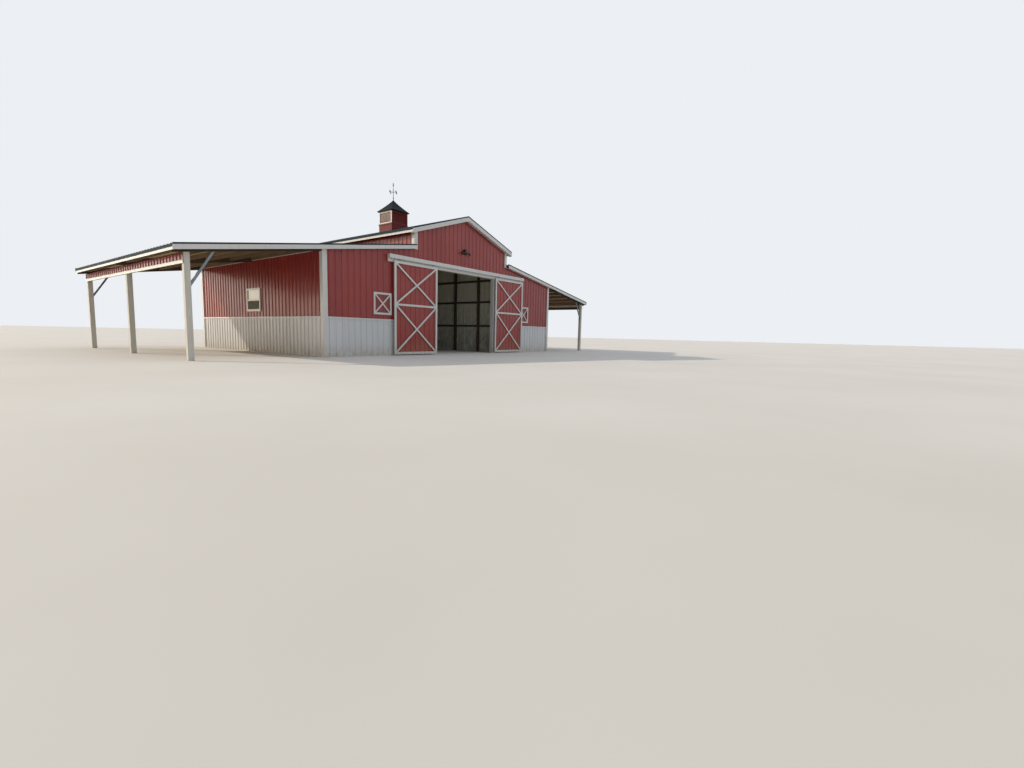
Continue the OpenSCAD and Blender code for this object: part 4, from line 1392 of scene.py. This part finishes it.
@dataclass
class Roofs:
    """Ribbed roof sheets, ridge cap, and the folded trims along the roofs' edges."""

    sizes: Sizes
    trees: Trees
    pan_lift: float = 0.001
    gauge: float = 0.0012
    end_gap: float = 0.002
    screw_inset: float = 0.06
    long_slope: float = 4.0
    short_gaps: int = 5
    long_gaps: int = 11
    rake_lip: float = 0.036
    low_drip: float = 0.088
    high_drip: float = 0.075
    trim_length: float = 3.05
    trim_gap: float = 0.004
    seam: float = 0.003
    seam_front: float = 0.0002
    seam_back: float = 0.006
    soffit_t: float = 0.008
    skirt_foot: float = 0.05
    skirt_head: float = 0.06

    def slope(self, name: str, side: Side, inner: float, outer: float, pitch: float, under: Callable) -> None:
        """Builds the sheets of one slope.

        Args:
            name: the CAD node that they replace.
            side: the side of the barn.
            inner: how far the upper edge is from the middle of the barn.
            outer: how far the lower edge is.
            pitch: the fall for each metre outwards.
            under: gives the height of the underside at x.
        """
        way, slant = side.value, math.hypot(1.0, pitch)
        down, out = Vector((way / slant, 0, -pitch / slant)), Vector((way * pitch / slant, 0, 1 / slant))
        length, edge = (outer - inner) * slant, self.sizes.half_o - self.end_gap
        base = Vector((way * inner, 0, under(inner))) + out * self.pan_lift
        field = Sheeting(Y, down, out, base, [(-edge, 0.0), (edge, 0.0)], [(-edge, length), (edge, length)],
                         face=ROOF, back=ROOF_BACK, gauge=self.gauge)
        gaps, first = self.short_gaps if length < self.long_slope else self.long_gaps, self.screw_inset
        rows = tuple(first + i * (length - 2 * first) / gaps for i in range(gaps + 1))
        put_up(self.trees, name, name + "_sheets", [field], Screws(rows, ROOF_SEED, ZINC))

    def ridge(self) -> None:
        """Builds the folded cap along the ridge, with a hem at each side."""
        s = self.sizes
        lo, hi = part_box("ridge_cap")
        lift, wing = hi.z - s.ridge_z, hi.x
        line = [(-wing, 0.001), (-wing + 0.012, 0.004), (-wing + 0.02, lift - 0.002), (0.0, lift),
                (wing - 0.02, lift - 0.002), (wing - 0.012, 0.004), (wing, 0.001)]
        piece = Piece("ridge_cap_folded")
        piece.draw(line, (lo.y, hi.y), lambda a, b, y: Vector((a, y, s.high_top(a) + b)), ROOF, -FOLD_GAUGE)
        piece.done(BODY, "ridge_cap")

    def rakes(self) -> None:
        """Builds the folded trims down the sloping edges, with their seams, soffits and dark lips."""
        s, lip = self.sizes, self.rake_lip
        piece = Piece("rake_trim_folded")
        runs = [(s.half_c, s.half_e, s.low_top, s.low_rake_h, s.half_s),
                (0.0, s.half_h, s.high_top, s.high_rake_h, s.half_h)]
        for end, side in ((end.value, side.value) for end in End for side in Side):
            for start, stop, top, deep, soffit_stop in runs:
                def place(a: float, b: float, x: float) -> Vector:
                    """Puts a point a inwards of the roof's end and b under its top."""
                    return Vector((side * x, end * (s.half_o - a), top(x) - b))
                face = [(0.020, 0.004), (0.004, 0.006), (0.004, deep - 0.014), (0.0005, deep - 0.008),
                        (0.0005, deep - 0.001), (0.020, deep)]
                piece.draw(face, (start, stop), place, TRIM, FOLD_GAUGE)
                # The lip is slate paint, darkened with painted shadow.
                edge = [(0.075, -0.003), (0.0005, -0.003), (0.0, lip), (0.006, lip + 0.004)]
                piece.draw(edge, (start, stop), place, DRIP_AND_PAINTED_SHADOW, LIP_GAUGE)
                for k in range(1, math.ceil((stop - start) / self.trim_length)):
                    joint = start + k * self.trim_length
                    piece.draw(oblong(self.seam_front, self.seam_back, lip, deep - self.seam_back),
                               (joint, joint + self.seam), place, TRIM_SEAM)
                board = oblong(self.trim_gap, s.half_o - s.half_l, deep - self.soffit_t, deep)
                piece.draw(board, (start, soffit_stop), place, TRIM)
        piece.done(BODY, "rake_trim")

    def eaves(self) -> None:
        """Builds the folded trims along the eaves, and the strips under the hanging panels."""
        s = self.sizes
        piece = Piece("eave_trim_folded")
        inner, outer = s.half_p, s.half_p + s.sheet_t
        foot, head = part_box("eave_trim")[0].z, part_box("skirt_panels")[0].z
        wrap = [(outer - 0.012, head + 0.004), (outer, head), (outer, foot), (inner, foot),
                (inner, foot + 0.03)]
        long = s.half_o - self.trim_gap
        edges = ((s.half_e, s.low_top, self.low_drip), (s.half_h, s.high_top, self.high_drip))
        for side in (-1, 1):
            for edge, top, drip in edges:
                def place(a: float, b: float, y: float) -> Vector:
                    """Puts a point a inwards of the eave and b under the roof's top."""
                    return Vector((side * (edge - a), y, top(edge - a) - b))
                face = [(0.030, drip - 0.020), (0.008, drip - 0.020), (0.008, s.eave_h - 0.014),
                        (0.003, s.eave_h - 0.008), (0.003, s.eave_h), (0.020, s.eave_h)]
                piece.draw(face, (-long, long), place, TRIM, FOLD_GAUGE)
                # The apron's dark slate is partly the roof's paint and partly painted shadow of the roof's
                # overhang.
                apron = [(0.060, s.roof_t + 0.001), (0.002, s.roof_t + 0.001), (0.0, drip - 0.004),
                         (0.0, drip), (0.010, drip)]
                piece.draw(apron, (-long, long), place, DRIP_AND_PAINTED_SHADOW, FOLD_GAUGE)
            piece.draw(wrap, (-s.half_l, s.half_l), lambda a, b, y: Vector((side * a, y, b)), TRIM,
                       -FOLD_GAUGE)
        piece.done(BODY, "eave_trim")

    def skirts(self) -> None:
        """Builds the red ribbed panels that hang outside the lean-to posts."""
        lo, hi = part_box("skirt_panels")
        top = hi.z - self.trim_gap
        fields = [Sheeting(Y, Z, X * side.value, X * side.value * (hi.x - Ribs.height),
                           [(lo.y, lo.z), (hi.y, lo.z)], [(lo.y, top), (hi.y, top)]) for side in Side]
        screws = Screws((lo.z + self.skirt_foot, hi.z - self.skirt_head), SKIRT_SEED)
        put_up(self.trees, "skirt_panels", "skirt_sheets", fields, screws)

    def build(self) -> None:
        """Builds every roof and its trims."""
        s = self.sizes
        for side in Side:
            name = side.name.lower()
            self.slope(name + "_low_roof", side, s.half_c, s.half_e, s.low_pitch, s.low_under)
            self.slope(name + "_high_roof", side, 0.0, s.half_h, s.high_pitch, s.high_under)
        self.ridge()
        self.rakes()
        self.eaves()
        self.skirts()
        for node in ("belt_trim", "corner_trim"):
            dress_copy(node, TRIM, 0.002)


@dataclass
class TimberFrame:
    """Posts, rafters, purlins, beams, girts and braces."""

    ease: float = 0.003

    def build(self) -> None:
        """Dresses every timber with its own grain."""
        dress_copy("lean_to_posts", POST, 0.005, 2)
        for node in ("outer_posts", "inner_posts", "rafters", "beams", "girts", "door_jambs"):
            dress_copy(node, TIMBER_AGED_AND_SHADED, self.ease)
        dress_copy("purlins", PURLIN, self.ease)
        dress_copy("knee_braces", BRACE_ZINC, self.ease)


@dataclass
class SlidingDoors:
    """The doorway's casing, the track with its board and cover, and the two doors."""

    trees: Trees
    gauge: float = 0.0005

    def door(self, side: Side) -> None:
        """Builds one door, which moves as one body.

        Args:
            side: which door.
        """
        body = side.name.lower() + "_door"
        lo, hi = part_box(body + "_panel")
        field = Sheeting(X, Z, -Y, Y * (lo.y + Ribs.height - self.gauge), [(lo.x, lo.z), (hi.x, lo.z)],
                         [(lo.x, hi.z), (hi.x, hi.z)], face=DOOR_RED, gauge=self.gauge)
        put_up(self.trees, body + "_panel", body + "_sheet", [field], body=body)
        dress_copy(body + "_frame", TRIM, body=body)
        dress_copy(body + "_trolleys", ZINC, 0.0006, smooth=35, body=body)

    def build(self) -> None:
        """Builds the doorway and both doors."""
        dress_copy("door_casing", TRIM, 0.002)
        dress_copy("track_board", TRIM)
        dress_copy("door_track", ZINC, 0.0008)
        dress_copy("track_cover", TRIM, 0.001)
        for side in Side:
            self.door(side)


@dataclass
class SideWindows:
    """The window in each side wall, with an insect screen over its lower pane."""

    sash: float = 0.040
    set_in: float = 0.005
    gauge: float = 0.003
    rim: float = 0.016

    def screens(self) -> None:
        """Builds each screen: mesh in a slim vinyl rim, just outside the lower pane."""
        lo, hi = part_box("window_glass")
        top = lo.z + (hi.z - lo.z - self.sash) / 2
        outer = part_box("window_frames")[1].x - self.set_in
        inner, rim = outer - self.gauge, self.rim
        piece = Piece("window_screens")
        for side in (-1, 1):
            def place(a: float, b: float, x: float) -> Vector:
                """Puts a point of the screen at y a and height b."""
                return Vector((side * x, a, b))
            piece.draw(oblong(lo.y, hi.y, lo.z, top), (inner, outer - self.gauge / 2), place, SCREEN)
            for bar in ((lo.y, hi.y, lo.z, lo.z + rim), (lo.y, hi.y, top - rim, top),
                        (lo.y, lo.y + rim, lo.z + rim, top - rim), (hi.y - rim, hi.y, lo.z + rim, top - rim)):
                piece.draw(oblong(*bar), (inner, outer), place, VINYL)
        piece.done(BODY)

    def build(self) -> None:
        """Dresses the frames and the panes, and adds the screens."""
        dress_copy("window_frames", VINYL, 0.003, 2)
        dress_copy("window_glass", GLASS, 0.0005)
        self.screens()


@dataclass
class Cupola:
    """The cupola on the ridge: base, corner posts, louvres and roof."""

    trees: Trees
    post: float = 0.080
    sill: float = 0.045
    rail: float = 0.03
    count: int = 8
    lean: float = 0.45
    lip: float = 0.030
    steps: int = 14
    flare: float = 1.18
    tip: float = 0.004
    ease: float = 0.004
    blade: float = 0.004
    lap: float = 0.010
    hip: float = 0.022
    hip_t: float = 0.004

    def box(self, piece: Piece, low: Vector, high: Vector, outer: float) -> None:
        """Adds a post or rail whose faces to the left and right are white, as painted sun glare, and whose
        other faces are red.

        Args:
            piece: the piece that gets it.
            low: its least corner.
            high: its greatest corner.
            outer: how far from the middle a white face lies.
        """
        bm = bmesh.new()
        bmesh.ops.create_cube(bm, size=1.0)
        bmesh.ops.scale(bm, vec=high - low, verts=bm.verts)
        bmesh.ops.translate(bm, vec=(low + high) / 2, verts=bm.verts)
        bmesh.ops.bevel(bm, geom=bm.edges[:], offset=self.ease, segments=2, affect="EDGES",
                        clamp_overlap=True)
        bm.normal_update()
        for face in bm.faces:
            # The white on the left and right faces is a painted highlight of sun glancing on the posts and
            # rails.
            white = abs(face.normal.x) > 0.75 and abs(face.calc_center_median().x) > outer - 0.01
            face.material_index = piece.index(TRIM if white else CUPOLA_RED_PAINTED_SHADE)
        mesh = bpy.data.meshes.new("box")
        bm.to_mesh(mesh)
        bm.free()
        piece.bm.from_mesh(mesh)
        bpy.data.meshes.remove(mesh)

    def body(self) -> None:
        """Builds the corner posts, top rail and louvres."""
        lo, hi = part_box("cupola_body")
        half, inner = hi.x, hi.x - self.post
        piece = Piece("cupola_body_built")
        piece.index(CUPOLA_RED_PAINTED_SHADE)
        for sx in (-1, 1):
            for sy in (-1, 1):
                xs, ys = (sorted((way * inner, way * half)) for way in (sx, sy))
                self.box(piece, Vector((xs[0], ys[0], lo.z)), Vector((xs[1], ys[1], hi.z)), half)
        for way in (-1, 1):
            near, far = sorted((way * (half - self.rail), way * half))
            for foot, deep in ((lo.z, self.sill), (hi.z - self.post, self.post)):
                self.box(piece, Vector((near, -inner, foot)), Vector((far, inner, foot + deep)), half)
                self.box(piece, Vector((-inner, near, foot)), Vector((inner, far, foot + deep)), half)
        start = lo.z + self.sill
        rise = (hi.z - self.post - start) / self.count
        line = [(0.012, 0.0), (0.014, 0.012), (0.014 + rise * self.lean, rise + self.lap)]
        blade = folded(line, -self.blade)
        for turn in range(4):
            spin = Matrix.Rotation(turn * math.pi / 2, 3, "Z")
            slat = run_outline(blade, (-inner, inner), lambda a, b, t: spin @ Vector((t, -half + a, b)))
            # Louvres on the left and right faces get the pale red of painted sun glare; those in front and
            # behind get the darker red of painted shade.
            finish = LOUVRE_PAINTED_HIGHLIGHT if turn % 2 else CUPOLA_RED_PAINTED_SHADE
            values = {"Count": self.count, "Start": (0.0, 0.0, start), "Rise": (0.0, 0.0, rise),
                      "Paint": finish.material()}
            piece.take(run_tree(slat, self.trees.slats, values), finish)
        piece.done(BODY, "cupola_body")

    def roof(self) -> None:
        """Builds the flared hipped roof, with its upright lip and its hip caps."""
        lo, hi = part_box("cupola_roof")
        half, lip, steps = hi.x, lo.z + self.lip, self.steps
        rings = [(half, lo.z), (half, lip)]
        rings += [(half * (1 - i / steps) ** self.flare, lip + (hi.z - lip) * i / steps)
                  for i in range(1, steps)]
        rings += [(self.tip, hi.z)]
        piece = Piece("cupola_roof_built")
        piece.draw(oblong(-1, 1, -1, 1), range(len(rings)),
                   lambda a, b, at: Vector((a * rings[at][0], b * rings[at][0], rings[at][1])), CHARCOAL)
        cap = [(-self.hip, 0.0), (0.0, self.hip_t), (self.hip, 0.0), (self.hip, -self.hip_t),
               (-self.hip, -self.hip_t)]
        for sx, sy in oblong(-1, 1, -1, 1):
            def place(a: float, b: float, at: int) -> Vector:
                """Puts a point of the hip cap: a across the hip, b above it, at a ring's number."""
                r, z = rings[at]
                return Vector((sx * (r + 0.7 * a), sy * (r - 0.7 * a), z + b - abs(a) * 0.5))
            piece.draw(cap, range(1, len(rings) - 1), place, CHARCOAL)
        piece.done(BODY, "cupola_roof")

    def build(self) -> None:
        """Builds the cupola."""
        dress_copy("cupola_base", CUPOLA_RED_PAINTED_SHADE)
        self.body()
        self.roof()


@dataclass
class Metalwork:
    """The lamp over the doorway, and the weathervane on its stand."""

    smooth: float = 35

    def build(self) -> None:
        """Dresses the lamp, the stand and the vane."""
        dress_copy("gable_lamp", LAMP_BLACK, 0.003, 2, smooth=self.smooth)
        dress_copy("vane_stand", VANE_BLACK, 0.0, smooth=self.smooth)
        dress_copy("weathervane", VANE_BLACK, 0.0008, smooth=30, body="vane")


@dataclass(frozen=True)
class Lobe:
    """A broad bright part of the surround: where it lies, its reach, its brightness and its colour."""

    source: tuple[float, float, float]
    reach: float
    most: float
    colour: str


@dataclass(frozen=True)
class Studio:
    """Floor, light and camera, in the barn's own frame."""

    eye: tuple[float, float, float] = (-14.526, -17.954, 0.832)
    yaw: float = 0.929
    dip: float = 0.105
    roll: float = 0.023
    lens: float = 16.43
    sensor: float = 36.0
    far: float = 1000.0
    floor_half: float = 220.0
    floor_colour: str = "#CDCAC3"
    floor_shade: str = "#C6C2BA"
    sun_from: tuple[float, float, float] = (-0.75, 1.0, 0.65)
    sun: float = 2.9
    sun_spread: float = 1.2
    sun_colour: str = "#FFF6E8"
    dim: float = 0.20
    glow: Lobe = Lobe((-0.52, 0.95, 0.08), 0.74, 2.6, "#FFE9CE")
    fill: Lobe = Lobe((1.0, -0.9, 1.6), -0.2, 0.7, "#E3EEFF")
    backdrop: float = 0.93
    backdrop_colour: str = "#F4F7FB"

    def floor(self) -> None:
        """Lays a pale floor, which doesn't belong to the object."""
        half = self.floor_half
        mesh = mesh_of([(a, b, 0) for a, b in oblong(-half, half, -half, half)], [(0, 1, 2, 3)], "floor")
        paint = bpy.data.materials.new("studio_floor")
        on = Bench.of(paint)
        shade = lay(on, self.floor_colour, self.floor_shade, FLOOR_TONE.grey(on))
        feed(on.tree, on.shader, {"Base Color": shade, "Roughness": 0.9})
        mesh.materials.append(paint)
        floor = bpy.data.objects.new("floor", mesh)
        bpy.context.scene.collection.objects.link(floor)

    def surround(self) -> None:
        """Sets a soft surround, brightest low behind the left side, and an even backdrop where it is seen."""
        world = bpy.data.worlds.new("surround")
        world.use_nodes = True
        tree = world.node_tree
        tree.nodes.clear()
        way = add(tree, "ShaderNodeTexCoord").outputs["Generated"]
        lobes = []
        for lobe in (self.glow, self.fill):
            near = add(tree, "ShaderNodeVectorMath", {
                0: way, 1: tuple(Vector(lobe.source).normalized())}, operation="DOT_PRODUCT")
            bright = add(tree, "ShaderNodeMapRange", {
                "Value": near.outputs["Value"], "From Min": lobe.reach, "From Max": 1.0,
                "To Min": self.dim / 2, "To Max": self.dim / 2 + lobe.most},
                clamp=True, interpolation_type="SMOOTHERSTEP")
            lobes.append(add(tree, "ShaderNodeVectorMath", {
                0: linear(lobe.colour)[:3], "Scale": bright}, operation="SCALE"))
        sky = add(tree, "ShaderNodeVectorMath", {0: lobes[0], 1: lobes[1]}, operation="ADD")
        rays = add(tree, "ShaderNodeLightPath").outputs
        straight = add(tree, "ShaderNodeMath", {
            0: rays["Is Camera Ray"], 1: rays["Is Transmission Ray"]}, operation="MAXIMUM")
        shown = add(tree, "ShaderNodeMath", {0: straight, 1: rays["Is Glossy Ray"]}, operation="MAXIMUM")
        lighting = add(tree, "ShaderNodeMath", {0: 1.0, 1: straight}, operation="SUBTRACT")
        pale = tuple(value * self.backdrop for value in linear(self.backdrop_colour)[:3])
        parts = [add(tree, "ShaderNodeVectorMath", {0: colour, "Scale": much}, operation="SCALE")
                 for colour, much in ((pale, shown), (sky, lighting))]
        whole = add(tree, "ShaderNodeVectorMath", {0: parts[0], 1: parts[1]}, operation="ADD")
        shine = add(tree, "ShaderNodeBackground", {"Color": whole})
        add(tree, "ShaderNodeOutputWorld", {0: shine})
        bpy.context.scene.world = world

    def key(self) -> None:
        """Sets one key light, low behind the left side."""
        lamp = bpy.data.lights.new("key", "SUN")
        lamp.energy, lamp.angle = self.sun, math.radians(self.sun_spread)
        lamp.color = linear(self.sun_colour)[:3]
        key = bpy.data.objects.new("key", lamp)
        key.rotation_mode = "QUATERNION"
        key.rotation_quaternion = Vector(self.sun_from).to_track_quat("Z", "Y")
        bpy.context.scene.collection.objects.link(key)

    def camera(self) -> None:
        """Stands the camera at the photograph's viewing angle."""
        ahead_level = Vector((math.sin(self.yaw), math.cos(self.yaw), 0))
        right = Vector((math.cos(self.yaw), -math.sin(self.yaw), 0))
        ahead = ahead_level * math.cos(self.dip) - Z * math.sin(self.dip)
        up = Z * math.cos(self.dip) + ahead_level * math.sin(self.dip)
        across = right * math.cos(self.roll) + up * math.sin(self.roll)
        upright = up * math.cos(self.roll) - right * math.sin(self.roll)
        lens = bpy.data.cameras.new("camera")
        lens.lens, lens.sensor_width, lens.clip_end = self.lens, self.sensor, self.far
        view = bpy.data.objects.new("camera", lens)
        turn = Matrix((across, upright, -ahead)).transposed().to_4x4()
        view.matrix_world = Matrix.Translation(self.eye) @ turn
        bpy.context.scene.collection.objects.link(view)
        bpy.context.scene.camera = view

    def build(self) -> None:
        """Sets the studio."""
        self.floor()
        self.surround()
        self.key()
        self.camera()
        bpy.context.scene.view_settings.view_transform = "Standard"


def main() -> None:
    """Builds the barn in order."""
    logging.basicConfig(level=logging.INFO, format="%(name)s %(message)s")
    sizes, trees = Sizes.from_frame(), Trees()
    Studio().build()
    for assembly in (Walls(sizes, trees), Roofs(sizes, trees), TimberFrame(), SlidingDoors(trees),
                     SideWindows(), Cupola(trees), Metalwork()):
        log.info("building %s", type(assembly).__name__)
        assembly.build()


if __name__ == "__main__":
    main()
